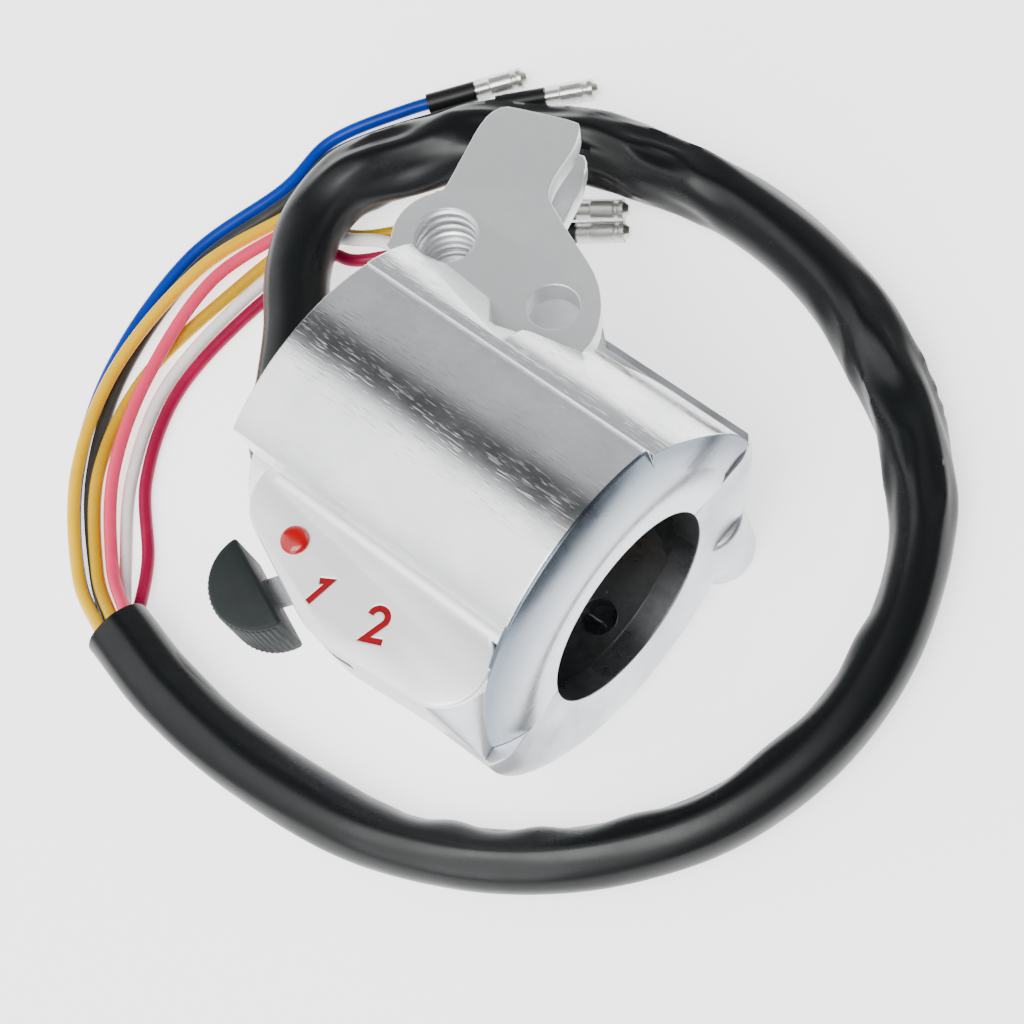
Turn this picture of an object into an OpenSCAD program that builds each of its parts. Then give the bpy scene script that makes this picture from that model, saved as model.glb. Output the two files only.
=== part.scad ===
// Handlebar switch cluster: a two-part clamp casing with a lever bracket,
// a three-position thumb switch and a sleeved wiring harness. Millimetres.
// The origin is the middle of the handlebar bore, +X points outboard along the bar,
// +Y points forward and +Z is square to the joint between the two casings.

/* [Casing] */
// Diameter of the handlebar
bar_d = 22.2; // [22:0.1:22.8]
// Radial clearance between the handlebar and the bore
bar_fit = 0.15; // [0.05:0.05:0.2]
// Length of the casing along the bar
casing_len = 38; // [37:0.5:42]
// Radius of the barrel of the upper casing
barrel_r = 20; // [19.6:0.1:20.8]
// Radius of the lower casing
lower_r = 21.2; // [21:0.1:21.4]
// Thickness of the casing skin
casing_wall = 2.4; // [1.8:0.1:3]
// Thickness of the inboard end wall
end_wall = 6; // [5:0.5:7]
// Thickness of the outboard end wall
near_wall = 2.6; // [2.4:0.1:3.4]
// Thickness of the middle rib
mid_rib = 4; // [3:0.5:5]
// Height of the rib above the bore
rib_height = 2.7; // [2:0.1:3]
// Height of the joint between the casings
split_z = 1.5; // [1:0.1:2]
// Gap left at the joint so that the screws clamp the bar
split_gap = 0.2; // [0.1:0.05:0.3]
// Length of the domed outboard end
dome_len = 2.6; // [2.2:0.1:3]
// Radial width of the domed end, from its edge to its highest ring
dome_width = 5.8; // [5:0.2:6.4]
// Length of the lower casing's rounded outboard edge
edge_len = 1.2; // [0.8:0.1:1.6]
// Radial width of the lower casing's rounded outboard edge
edge_width = 3; // [2.4:0.1:3.6]
// How far the dome stands beyond the casing's length
rim_proud = 0.6; // [0.4:0.1:1]
// How far the face falls back from the dome to the bore
rim_dish = 0.3; // [0.2:0.05:0.4]
// Radius of the inboard collar beside the panel
collar_r = 15.2; // [14:0.1:16]
// Radius of the strip forward of the barrel
strip_r = 20.3; // [20.2:0.1:20.6]
// Radius of the drain hole
drain_r = 2; // [1:0.5:2.5]

/* [Switch panel] */
// Height of the panel face
panel_z = 13.3; // [13:0.1:13.8]
// Thickness of the panel plate
panel_t = 2; // [1.8:0.1:2.2]
// Radius of the rounded front of the panel
panel_r = 9; // [8.8:0.1:9.1]
// Radius of the panel's inboard corner
panel_corner_r = 5; // [4.8:0.1:5.2]
// Radius of the panel's outboard nose
panel_nose_r = 4.9; // [4.6:0.1:5]
// Radius of the fillet between the panel and the barrel
panel_fillet = 1.5; // [1:0.1:1.8]
// Radius of the switch chamber
chamber_r = 9.3; // [9.2:0.1:9.6]
// Radius of the raised off mark
dot_r = 1.5; // [1:0.1:1.8]
// Height of the off mark above the panel
dot_rise = 0.6; // [0.3:0.1:1]
// Depth of the engraved marks
mark_depth = 0.3; // [0.2:0.05:0.5]
// Width of the strokes of the marks
mark_stroke = 0.75; // [0.5:0.05:0.9]

/* [Lever bracket] */
// Downward tilt of the bracket
bracket_tilt = 11.65; // [10:0.05:13]
// Height of the bracket's top face above the bar axis, square to the bracket
bracket_top = 15.4; // [15:0.1:15.8]
// Thickness of the upper ear
upper_ear = 2.6; // [2.2:0.1:3]
// Height of the slot for the lever
lever_slot = 5.4; // [5.2:0.1:5.6]
// Thickness of the lower ear
lower_ear = 2.2; // [1.8:0.1:2.6]
// Tapping diameter of the mirror hole
mirror_tap_d = 6.7; // [6:0.1:7]
// Depth of the mirror hole
mirror_depth = 9.2; // [8:0.2:9.4]
// Diameter of the hole for the lever's pivot screw
lever_pin_d = 5.4; // [5:0.1:6]
// Depth of the lever's pivot hole
lever_pin_depth = 9.5; // [9:0.1:9.6]
// Diameter of the cable adjuster's hole
adjuster_d = 5; // [4:0.5:5]

/* [Thumb switch] */
// Turn of the switch from off to its last position
switch_turn = 40; // [30:5:40]
// Distance of the switch pivot behind the bar axis
pivot_back = 10; // [9.9:0.1:10.2]
// Diameter of the pivot pin
pivot_d = 3; // [2.6:0.1:3.2]
// Running clearance on the pivot pin
pivot_fit = 0.03; // [0.02:0.01:0.06]
// Width of the stem that carries the knob
stem_w = 3; // [2.4:0.1:3.2]
// Thickness of the stem
stem_t = 1.2; // [0.8:0.1:1.4]
// Radius of the thumb knob
knob_r = 5.4; // [5:0.1:5.6]
// Height of the thumb knob
knob_h = 8; // [7:0.5:9]
// Number of ridges round the knob
knob_ridges = 15; // [9:2:19]
// Radius of a knob ridge
ridge_r = 0.4; // [0.2:0.05:0.5]
// Thickness of the contact board
board_t = 1.6; // [1.2:0.1:1.8]
// Radius of a fixed contact's head
contact_r = 1.1; // [0.9:0.05:1.15]
// Radius of the detent ball
ball_r = 0.9; // [0.8:0.05:0.95]

/* [Screws] */
// Diameter of the casing screws
screw_d = 4; // [3.5:0.1:4.2]
// Diameter of a casing screw's head
head_d = 6.8; // [6.4:0.1:7]
// Height of a casing screw's head
head_h = 2.2; // [2:0.1:2.2]
// Thickness of a spring washer
washer_t = 0.8; // [0.5:0.1:0.9]
// Clearance round the casing screws
screw_fit = 0.2; // [0.1:0.05:0.3]
// Diameter of the board screws
board_screw_d = 2; // [1.6:0.1:2.2]

/* [Harness] */
// Diameter of the sleeve over the wires
sleeve_d = 8; // [7:0.5:8]
// Outer diameter of each wire
wire_d = 1.5; // [1.2:0.1:1.5]
// Diameter of the grommet where the wires leave the casing
grommet_d = 6.4; // [6:0.1:6.6]
// Width of the grommet's flange beyond its plug
grommet_lip = 0.8; // [0.6:0.1:1]
// Thickness of the grommet's flange
grommet_flange = 1.5; // [1:0.1:1.5]
// Wall of the grommet
grommet_wall = 1; // [0.8:0.1:1.1]
// Length of a bullet terminal
bullet_len = 7; // [6:0.5:8]
// Radius of a bullet terminal
bullet_r = 1; // [0.9:0.05:1]
// Wall of a terminal's clear cover
cover_wall = 0.23; // [0.15:0.01:0.24]
// Wall of a terminal's crimp boot
boot_wall = 0.4; // [0.3:0.05:0.42]

/* [Hidden] */
$fn = 64;
eps = 0.01;
far = 60;

bore_r = bar_d / 2 + bar_fit;
end_x = casing_len / 2;
bay_x = end_x - end_wall;
near_x = end_x - near_wall;
rib_x = mid_rib / 2;
split_top = split_z + split_gap;
rim_x = end_x + rim_proud;
dome_x = rim_x - dome_len;
strip_from = 58.4;
lower_lift = 0.8;

// The strip's outboard end is crowned: it falls back above this height
crown_from = 8;
crown_drop = 0.018;

// Flat on the strip beside the bracket: turn, yaw and where it leaves the strip
flat_turn = 39.3;
flat_yaw = 3.2;
flat_x = -15;

// Switch panel
crease_y = -10.8;
panel_y = -6.7;
panel_middle = [1, -13.1];
panel_corner = [-10.2, -12.6];
panel_nose = [12.2, -16.3];
nose_foot = [17.6, -20.8];
nose_foot_r = 0.3;
nose_foot_h = 1.5;
lower_corner_y = crease_y - 0.8;
ceiling_z = panel_z - panel_t;
core_back = -4;
core_front = 6;
collar_len = 6;
mark_circle = 11.9;
dot_turn = -40.6;
one_turn = -11.4;
two_turn = 23.3;
one_h = 3;
two_h = 3.7;

// Lever bracket, in the tilted frame
bracket_h = upper_ear + lever_slot + lower_ear;
slot_z = bracket_top - upper_ear - lever_slot;
mirror_at = [-16.8, 15.8];
mirror_lobe_r = 5.6;
lever_at = [-2.4, 15.75];
lever_lobe_r = 5;
lever_room_r = 6.2;
adjuster_w = 29.6;
adjuster_z = slot_z + lever_slot / 2;
bracket_outline = [
    [-20.9, 11], [-21.4, 19.4], [-20.7, 20], [-21.9, 24.1], [-23.1, 28.1], [-23.4, 30.3], [-22.8, 32],
    [-20.5, 33], [-15.2, 35], [-14.5, 34.5], [-13.4, 32.4], [-12.7, 28.3], [-12, 26.5], [-11.2, 25.6],
    [-7.4, 23.8], [-2.2, 21.7], [0, 20.2], [1.5, 18.6], [2.8, 16.5], [3.4, 14.4], [3.4, 5],
    [-end_x, 5], [-end_x, 11]
];
spot_plan = [[-8.1, 12.6], [-5.3, 9.6], [-4.6, 9.6], [-1.7, 11.6], [3, 13.4], [3, 20], [-8.1, 20]];
lower_arm = [
    [-21.9, 24.1], [-23.2, 29], [-23.2, 32.6], [-22.4, 34], [-16.4, 36.6], [-15.2, 35.8], [-13.4, 32.4],
    [-12, 27.6], [-11.2, 25.6]
];
slot_outline = [
    [-10.8, 16], [-13.5, 24], [-15.5, 29], [-18, 37], [12, 40], [12, 19.5], [3.4, 14], [-2.4, 11.5]
];
bracket_clear_y = lower_r + 0.4;

// Casing screws: place, seat height and tip height
screw_sites = [
    [end_x - 2.9, 13.8, -16.8, 5.6],
    [-11, 14, -16.8, 5.6],
    [end_x - 6.4, -15.4, -8, 8.4]
];
counterbore_r = head_d / 2 + 0.5;
column_r = counterbore_r + 1.2;
boss_r = counterbore_r + 0.4;
boss_z = -19.8;
boss_top = -9;
tip_room = 0.6;
rib_web = 16;
drain_inset = 8;

// Switch mechanism: heights and angles from the line straight back of the pivot
pivot_y = -pivot_back;
rest_turn = -37.5;
pivot_r = pivot_d / 2;
pin_head_r = 2.3;
pin_head_h = 0.6;
pin_top = panel_z - 0.4;
rotor_gap = 0.2;
rotor_top = ceiling_z - rotor_gap;
hub_h = 1.6;
hub_r = 3.2;
hub_z = rotor_top - hub_h;
pin_head_top = hub_z - 0.05;
block_z = 7.2;
block_in = 2.7;
block_out = chamber_r - 0.3;
block_half = 14;
stem_z = block_z + 0.4;
stem_in = 6.7;
stem_out = 16.8;
stem_fit = 0.4;
stem_slot_from = rest_turn - 13;
stem_slot_to = rest_turn + switch_turn + 13;
stem_pin_r = 0.5;
stem_pin_at = 7.9;
stem_pin_top = 9.8;
contact_t = 0.4;
contact_gap = 0.1;
wiper_z = block_z - contact_t;
contact_head_h = 0.5;
board_top = wiper_z - contact_gap - contact_head_h;
board_z = board_top - board_t;
board_fit = 0.25;
board_edge_y = -10.6;
board_screw_at = [7.2, -12.6];
board_boss_r = 1.9;
board_screw_tip = 9.4;
board_head_r = 1.6;
board_head_h = 1.2;
track_r = 7;
common_r = 4.4;
track_turns = [rest_turn, rest_turn + switch_turn / 2, rest_turn + switch_turn];
shank_r = 0.7;
tab_t = 0.4;
tab_r = 1.05;
tail_h = 0.5;
ball_at = 5.2;
ball_z = ceiling_z - 0.8;
ball_pocket_r = ball_r + 0.2;
groove_r = ball_r + 0.25;
pocket_z = block_z + 0.6;
spring_turns = 3;
spring_wire_r = 0.11;
spring_r = 0.65;
spring_top = ball_z - ball_r;
spring_sides = 6;
spring_steps = 24;

// Thumb knob, in the switch's own frame
knob_at = 13.77;
knob_turn = 15;
knob_z = 5;

// Grommet and the leads inside the casing
port_turn = 241.2;
port_inset = 5;
port = [0, lower_lift] + (lower_r - port_inset) * [cos(port_turn), sin(port_turn)];
grommet_in = end_wall - 0.5;
grommet_bore = grommet_d / 2 - grommet_wall;
lead_r = 0.6;
lead_top = board_z - tab_t - tail_h;
lead_end = -end_x - grommet_flange;
lead_spread = 1.2;
lead_clear_y = -15.2;
lead_offset = 0.8;
lead_side_x = -5;
lead_side_turn = 208.4;
lead_bend_x = -9;
lead_bend_turn = 228.9;
lead_inset = 4.6;
lead_cells = [[0, 1], [1, 0], [-1, 0], [0, -1]];

// The harness lies on the surface under the lower casing
floor_z = -20.4;
sleeve_r = sleeve_d / 2;
wire_r = wire_d / 2;
sleeve_rest = floor_z + sleeve_r;
sleeve_points = [
    [lead_end, port[0], port[1]], [-25, port[0], port[1]], [-29.5, -5, -13.4], [-33.5, 1, -13.5],
    [-37, 6.2, -13.6], [-41.3, 11.4, -13.6], [-43.8, 16.8, -13.6], [-44, 22, -13.6],
    [-42.2, 26.5, -13.7], [-39.6, 30.3, -14], [-34.8, 36.4, -14.8], [-28.2, 41.1, -15.8],
    [-21, 44.2, sleeve_rest], [-6, 46.6, sleeve_rest], [9, 44.6, sleeve_rest],
    [22.5, 38.2, sleeve_rest], [32, 29.5, sleeve_rest], [37.5, 18, sleeve_rest],
    [39, 5, sleeve_rest], [36, -8, sleeve_rest], [29, -18.5, sleeve_rest], [19, -27, sleeve_rest],
    [6, -33, sleeve_rest], [-9, -35.2, sleeve_rest], [-22, -34.6, sleeve_rest],
    [-32, -32.4, sleeve_rest]
];

// Where the loose wires run together: a point and the direction of travel at each station
bundle_points = [[-32, -32.4], [-39, -28], [-47, -19.5], [-52, -8], [-52, 6], [-48.5, 18]];
bundle_ways = [[-10, 2.2], [-8, 6], [-6, 10], [-2.5, 13], [2, 13], [4, 10]];

// Height of a terminal's axis above the floor
term_h = bullet_r + cover_wall + 0.02;

// Each wire: name, colour, boot length, its place across and above the bundle at each station,
// and the points of its own tail, as places along the floor with a height
wires = [
    ["blue", "royalblue", 5,
        [[1.7, 2.35], [3.6, 0.8], [3.8, 0.8], [4.1, 0.8], [5.4, 0.8], [5.3, 0.8]],
        [[-52.6, 28, 0.8], [-47.3, 35.9, term_h], [-42.2, 41.9, term_h]]],
    ["grey", "dimgray", 5,
        [[0.85, 4], [1.7, 0.8], [2, 0.8], [2.4, 0.8], [3.7, 0.8], [3.6, 0.8]],
        [[-50.8, 27.6, 0.8], [-42, 38.8, term_h], [-34.6, 45.8, term_h]]],
    ["yellow", "gold", 1,
        [[1.7, 5.6], [3.2, 2.5], [3.2, 2.5], [2.6, 2.5], [2.3, 2.5], [1.9, 0.8]],
        [[-49.6, 23.5, 0.8], [-48.2, 27.4, term_h], [-47.1, 28.8, term_h]]],
    ["amber", "goldenrod", 2.2,
        [[0, 5.6], [0.9, 2.5], [0.5, 2.5], [-0.3, 0.8], [-2, 0.8], [-2, 0.8]],
        [[-40.2, 21.4, 0.8], [-28.4, 32.8, term_h], [-22.6, 36.5, term_h]]],
    ["pink", "hotpink", 1,
        [[-1.7, 5.6], [-0.9, 2.5], [-1.3, 2.5], [-1.6, 2.5], [0, 2.5], [-0.2, term_h]],
        [[-47.8, 19.6, term_h]]],
    ["white", "whitesmoke", 2.2,
        [[-0.85, 4], [-1.9, 0.8], [-2.9, 0.8], [-3.4, 0.8], [-3.8, 0.8], [-4, 1.7]],
        [[-40.6, 19.5, 2.6], [-36.4, 21.2, 3.1], [-32, 21.6, term_h], [-29.2, 23.8, term_h]]],
    ["red", "darkred", 2.2,
        [[-1.7, 2.3], [-4.6, 0.8], [-4.7, 0.8], [-5.1, 0.8], [-5.6, 0.8], [-5.6, 0.8]],
        [[-39, 18.5, 0.8], [-26.9, 29.9, term_h], [-20.7, 34.2, term_h]]]
];

crimp_len = 0.35 * bullet_len;
cover_from = 1;
cover_to = bullet_len - 0.6;
boot_lap = 0.8;
boot_fit = 0.05;

// Swept tubes: a ring of points round each point of the route, joined by triangles

function unit(v) = v / norm(v);

function way(p, i) = unit(p[min(i + 1, len(p) - 1)] - p[max(i - 1, 0)]);

function ring(p, i, r, sides, guide) =
    let (t = way(p, i), across = unit(cross(guide, t)), up = cross(t, across))
    [for (k = [0 : sides - 1])
        p[i] + r * (cos(360 * k / sides) * across + sin(360 * k / sides) * up)];

module tube(p, r, sides, guide = [0, 0, 1]) {
    last = len(p) - 1;
    points = [for (i = [0 : last]) each ring(p, i, r, sides, guide)];
    walls = [for (i = [0 : last - 1], k = [0 : sides - 1])
        let (a = i * sides + k, b = i * sides + (k + 1) % sides)
        each [[a, a + sides, b], [b, a + sides, b + sides]]];
    first_cap = [for (k = [1 : sides - 2]) [0, k, k + 1]];
    last_cap = [for (k = [1 : sides - 2])
        [last * sides, last * sides + k + 1, last * sides + k]];
    polyhedron(points, concat(walls, first_cap, last_cap));
}

// Lays a shape drawn across the bar (forward, up) along the bar
module along_x(from, to) {
    translate([from, 0, 0]) rotate([90, 0, 90]) linear_extrude(to - from) children();
}

// Turns a shape drawn as (radius, distance) about the bar axis
module about_x(from) {
    translate([from, 0, 0]) rotate([0, 90, 0]) rotate_extrude() children();
}

module above(z) {
    translate([-far, -far, z]) cube([2 * far, 2 * far, far]);
}

module below(z) {
    translate([-far, -far, z - far]) cube([2 * far, 2 * far, far]);
}

// Outline of a revolved body whose outboard end is domed and falls back to the bore
module domed_end(r, length, width, drop) {
    dome = [for (t = [0 : 0.125 : 1]) [r - width * t, length - drop * (1 - t) * (1 - t)]];
    face = length - rim_dish;
    polygon(concat([[0, 0], [r, 0]], dome, [[bore_r, face], [0, face]]));
}

module bracket_frame() {
    rotate([-bracket_tilt, 0, 0]) children();
}

module switch_frame(turn = rest_turn) {
    translate([0, pivot_y, 0]) rotate([0, 0, turn]) children();
}

module screw_holes(r, from, to) {
    for (s = screw_sites) translate([s[0], s[1], from]) cylinder(r = r, h = to - from);
}

// Upper casing

// A sector of a disc drawn across the bar, between two angles above the forward line
module slice(r, from, to) {
    intersection() {
        circle(r);
        polygon([[0, 0], far * [cos(from), sin(from)], far * [cos((from + to) / 2), sin((from + to) / 2)],
            far * [cos(to), sin(to)]]);
    }
}

// The strip forward of the barrel, a little prouder than it, with a crowned outboard end.
// A flat and the lever's spot face are cut into it beside the bracket.
module strip() {
    face = rim_x - rim_dish;
    steps = [for (t = [0 : 0.125 : 1]) crown_from + t * (strip_r - crown_from)];
    crown = [for (z = steps) [face - crown_drop * (z - crown_from) * (z - crown_from), z]];
    difference() {
        intersection() {
            along_x(-end_x, rim_x) slice(strip_r, 0, strip_from);
            translate([0, far, 0]) rotate([90, 0, 0]) linear_extrude(2 * far)
                polygon(concat([[-end_x, 0], [face, 0]], crown, [[-end_x, strip_r]]));
        }
        intersection() {
            rotate([flat_turn, 0, 0]) translate([flat_x, strip_r, -far]) rotate([0, 0, -flat_yaw])
                cube(2 * far);
            translate([-far, 0, 0]) cube([far + lever_at[0], far, far]);
        }
        bracket_frame() translate([0, 0, bracket_top]) linear_extrude(far) polygon(spot_plan);
    }
}

module barrel() {
    intersection() {
        along_x(-end_x, dome_x + eps) slice(barrel_r, strip_from - 1, 180);
        translate([-far, crease_y, 0]) cube([2 * far, 2 * far, far]);
    }
}

// Plan of the panel: inboard corner, rounded front and outboard nose
module panel_plan(inset = 0) {
    hull() {
        translate(panel_corner) circle(panel_corner_r - inset);
        translate(panel_middle) circle(panel_r - inset);
        translate(panel_nose) circle(panel_nose_r - inset);
    }
}

// The panel's walls, and the slope from its nose to the outboard end
module panel_body() {
    h = panel_z - split_z;
    translate([0, 0, split_z]) {
        linear_extrude(h) panel_plan();
        hull() {
            translate(panel_nose) cylinder(r = panel_nose_r, h = h);
            translate(nose_foot) cylinder(r = nose_foot_r, h = nose_foot_h);
        }
    }
}

module panel_cove() {
    along_x(panel_corner[0] - panel_corner_r + panel_fillet, dome_x) difference() {
        translate([crease_y - panel_fillet, panel_z - panel_t])
            square([panel_fillet + 1, panel_t + panel_fillet]);
        translate([crease_y - panel_fillet, panel_z + panel_fillet]) circle(panel_fillet);
    }
}

module casing_body() {
    intersection() {
        union() {
            barrel();
            strip();
            about_x(dome_x) domed_end(strip_r, dome_len, dome_width, dome_len);
            along_x(-end_x, -end_x + collar_len) circle(collar_r);
            panel_body();
            panel_cove();
        }
        above(split_top);
    }
}

module bracket_plate() {
    intersection() {
        bracket_frame() translate([0, 0, bracket_top - bracket_h]) linear_extrude(bracket_h) {
            polygon(bracket_outline);
            translate(mirror_at) circle(mirror_lobe_r);
            translate(lever_at) circle(lever_lobe_r);
        }
        union() {
            above(split_top);
            translate([-far, bracket_clear_y, -far]) cube(2 * far);
        }
    }
    bracket_frame() translate([0, 0, bracket_top - bracket_h]) linear_extrude(lower_ear) polygon(lower_arm);
}

module bracket_cuts() {
    bracket_frame() {
        translate([0, 0, slot_z]) linear_extrude(lever_slot) {
            polygon(slot_outline);
            translate(lever_at) circle(lever_room_r);
        }
        translate([mirror_at[0], mirror_at[1], bracket_top - mirror_depth])
            cylinder(d = mirror_tap_d, h = far);
        translate([lever_at[0], lever_at[1], bracket_top - lever_pin_depth])
            cylinder(d = lever_pin_d, h = far);
        translate([-far, adjuster_w, adjuster_z]) rotate([0, 90, 0]) cylinder(d = adjuster_d, h = far - 10);
    }
}

module casing_bays() {
    for (side = [-1, 1]) {
        along_x(side > 0 ? rib_x : -bay_x, side > 0 ? near_x : -rib_x) intersection() {
            circle(barrel_r - casing_wall);
            translate([core_back, 0]) square([core_front - core_back, far]);
        }
    }
}

module switch_chamber() {
    h = ceiling_z - split_z;
    translate([0, pivot_y, split_z]) cylinder(r = chamber_r, h = h);
    translate([-chamber_r, pivot_y, split_z]) cube([2 * chamber_r, core_back - pivot_y, h]);
    switch_frame(0) translate([0, 0, ball_z]) rotate_extrude() translate([ball_at, 0]) circle(groove_r);
}

module stem_slot() {
    switch_frame(0) translate([0, 0, stem_z - stem_fit]) linear_extrude(stem_t + 2 * stem_fit)
        polygon(concat([[0, 0]], [for (a = [stem_slot_from, 0, stem_slot_to]) 40 * [sin(a), -cos(a)]]));
}

module board_posts(r, from, to) {
    for (side = [-1, 1]) translate([side * board_screw_at[0], board_screw_at[1], from])
        cylinder(r = r, h = to - from);
}

module on_panel(turn) {
    translate([0, panel_y, 0]) rotate([0, 0, turn]) translate([0, -mark_circle, 0]) children();
}

module figure_one() {
    translate([-mark_stroke / 2, -one_h / 2]) square([mark_stroke, one_h]);
    translate([-1.1, one_h / 2 - mark_stroke - 0.3]) rotate(20) square([1.2, mark_stroke * 0.8]);
}

module figure_two() {
    r = 0.3 * two_h;
    translate([0, two_h / 2 - r]) intersection() {
        difference() {
            circle(r);
            circle(r - mark_stroke);
        }
        polygon([[0, 0], [-2 * r, 0.3], [-2 * r, 2 * r], [2 * r, 2 * r], [2 * r, -2 * r]]);
    }
    polygon([[-r, -two_h / 2], [r, -two_h / 2], [r, -two_h / 2 + mark_stroke],
        [0.1, -two_h / 2 + mark_stroke], [r * 0.9, two_h / 2 - 1.45 * r],
        [r * 0.35, two_h / 2 - 1.75 * r], [-r, -two_h / 2 + mark_stroke]]);
}

module mark_shapes(depth) {
    translate([0, 0, panel_z - mark_depth]) linear_extrude(depth) {
        on_panel(one_turn) figure_one();
        on_panel(two_turn) figure_two();
    }
}

module upper_casing() {
    color("silver") difference() {
        union() {
            difference() {
                union() {
                    casing_body();
                    bracket_plate();
                }
                casing_bays();
                switch_chamber();
                stem_slot();
            }
            board_posts(board_boss_r, board_top, ceiling_z + 0.5);
        }
        along_x(-end_x - 1, rim_x + 1) circle(bore_r);
        bracket_cuts();
        board_posts(board_screw_d / 2, 0, board_screw_tip + 0.3);
        switch_frame() translate([0, 0, ceiling_z - 1]) cylinder(r = pivot_r, h = pin_top - ceiling_z + 1);
        for (s = screw_sites) translate([s[0], s[1], 0]) cylinder(d = screw_d, h = s[3] + tip_room);
        mark_shapes(1);
        on_panel(dot_turn) translate([0, 0, panel_z - mark_depth]) cylinder(r = dot_r, h = 1);
    }
}

module position_dot() {
    cap_r = (dot_r * dot_r + dot_rise * dot_rise) / (2 * dot_rise);
    color("red") on_panel(dot_turn) translate([0, 0, panel_z - mark_depth]) {
        cylinder(r = dot_r, h = mark_depth);
        translate([0, 0, mark_depth]) intersection() {
            translate([0, 0, dot_rise - cap_r]) sphere(r = cap_r);
            cylinder(r = dot_r + 0.1, h = dot_rise + 1);
        }
    }
}

module position_marks() {
    color("firebrick") mark_shapes(mark_depth - 0.08);
}

// Lower casing

// What is left out of the lower casing so that its inboard corner follows the panel
module lower_corner(inset) {
    translate([0, 0, -far]) linear_extrude(2 * far) difference() {
        translate([-far, -far]) square([far, far + lower_corner_y]);
        panel_plan(inset);
    }
}

module lower_outer() {
    difference() {
        intersection() {
            translate([0, 0, lower_lift]) about_x(-end_x)
                domed_end(lower_r, casing_len + rim_proud, edge_width, edge_len);
            below(split_z);
        }
        lower_corner(0);
    }
}

module lower_columns() {
    for (i = [0, 1]) translate([screw_sites[i][0], screw_sites[i][1], boss_z])
        cylinder(r = boss_r, h = boss_top - boss_z);
    intersection() {
        lower_outer();
        screw_holes(column_r, -far, far);
    }
}

// The hollow of the lower casing: two bays, and side windows past the middle rib
module lower_bays() {
    difference() {
        along_x(-bay_x, near_x) translate([0, lower_lift]) circle(lower_r - casing_wall);
        lower_corner(casing_wall);
        along_x(-rib_x, rib_x) {
            circle(bore_r + rib_height);
            translate([-rib_web / 2, -lower_r]) square([rib_web, lower_r]);
        }
    }
}

module lower_casing() {
    color("lightgray") difference() {
        union() {
            difference() {
                lower_outer();
                lower_bays();
            }
            lower_columns();
        }
        along_x(-end_x - 1, rim_x + 1) circle(bore_r);
        screw_holes(screw_d / 2 + screw_fit, -far, far);
        for (s = screw_sites) translate([s[0], s[1], -far]) cylinder(r = counterbore_r, h = far + s[2]);
        translate([end_x - drain_inset, 0, -far]) cylinder(r = drain_r, h = far);
        along_x(-end_x - 1, -bay_x + 1) translate(port) circle(d = grommet_d);
    }
}

module casing_screws() {
    slot_w = 1;
    color("gainsboro") for (s = screw_sites) translate([s[0], s[1], s[2] - washer_t]) {
        cylinder(d = screw_d, h = s[3] - s[2] + washer_t);
        translate([0, 0, -head_h]) difference() {
            cylinder(d = head_d - 0.2, h = head_h);
            for (turn = [0, 90]) rotate(turn) translate([-2, -slot_w / 2, -1]) cube([4, slot_w, 2.4]);
        }
    }
}

module screw_washers() {
    color("gray") for (s = screw_sites) translate([s[0], s[1], s[2] - washer_t]) difference() {
        cylinder(d = head_d, h = washer_t);
        translate([0, 0, -1]) cylinder(r = screw_d / 2 + screw_fit, h = 3);
        translate([screw_d / 4, -0.25, -1]) cube([head_d, 0.5, 3]);
    }
}

// Fixed switch parts

module pivot_pin() {
    color("lightsteelblue") switch_frame() {
        translate([0, 0, pin_head_top]) cylinder(r = pivot_r, h = pin_top - pin_head_top);
        translate([0, 0, pin_head_top - pin_head_h]) cylinder(r = pin_head_r, h = pin_head_h);
    }
}

function contact_spot(i, r) = [r * sin(track_turns[i]), pivot_y - r * cos(track_turns[i])];

// Runs its children at each fixed contact: the three tracks and the common one
module at_contacts() {
    for (i = [0 : 2]) translate(contact_spot(i, track_r)) children();
    translate(contact_spot(1, common_r)) children();
}

module contact_board() {
    color("saddlebrown") difference() {
        translate([0, 0, board_z]) linear_extrude(board_t) intersection() {
            translate([0, pivot_y]) circle(chamber_r - board_fit);
            translate([-far, board_edge_y - far]) square([2 * far, far]);
        }
        board_posts(board_screw_d / 2 + 0.1, 0, far);
        at_contacts() cylinder(r = shank_r, h = far);
    }
}

module board_screws() {
    color("gainsboro") {
        board_posts(board_screw_d / 2, board_z, board_screw_tip);
        difference() {
            board_posts(board_head_r, board_z - board_head_h, board_z);
            for (side = [-1, 1]) translate([side * board_screw_at[0] - 2, board_screw_at[1] - 0.2, 0])
                cube([4, 0.4, board_z - board_head_h + 0.6]);
        }
    }
}

module fixed_contacts() {
    color("gold") at_contacts() {
        translate([0, 0, board_top]) cylinder(r = contact_r, h = contact_head_h);
        translate([0, 0, board_z - tab_t - tail_h]) cylinder(r = shank_r, h = board_t + tab_t + tail_h);
    }
}

module solder_tabs() {
    color("goldenrod") at_contacts() translate([0, 0, board_z - tab_t]) difference() {
        cylinder(r = tab_r, h = tab_t);
        translate([0, 0, -1]) cylinder(r = shank_r, h = 2);
    }
}

// Moving switch parts, drawn with the stem straight back of the pivot

module sector(r_in, r_out, half) {
    intersection() {
        difference() {
            circle(r_out);
            circle(r_in);
        }
        polygon([[0, 0], 2 * r_out * [sin(-half), -cos(half)], 2 * r_out * [sin(half), -cos(half)]]);
    }
}

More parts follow.
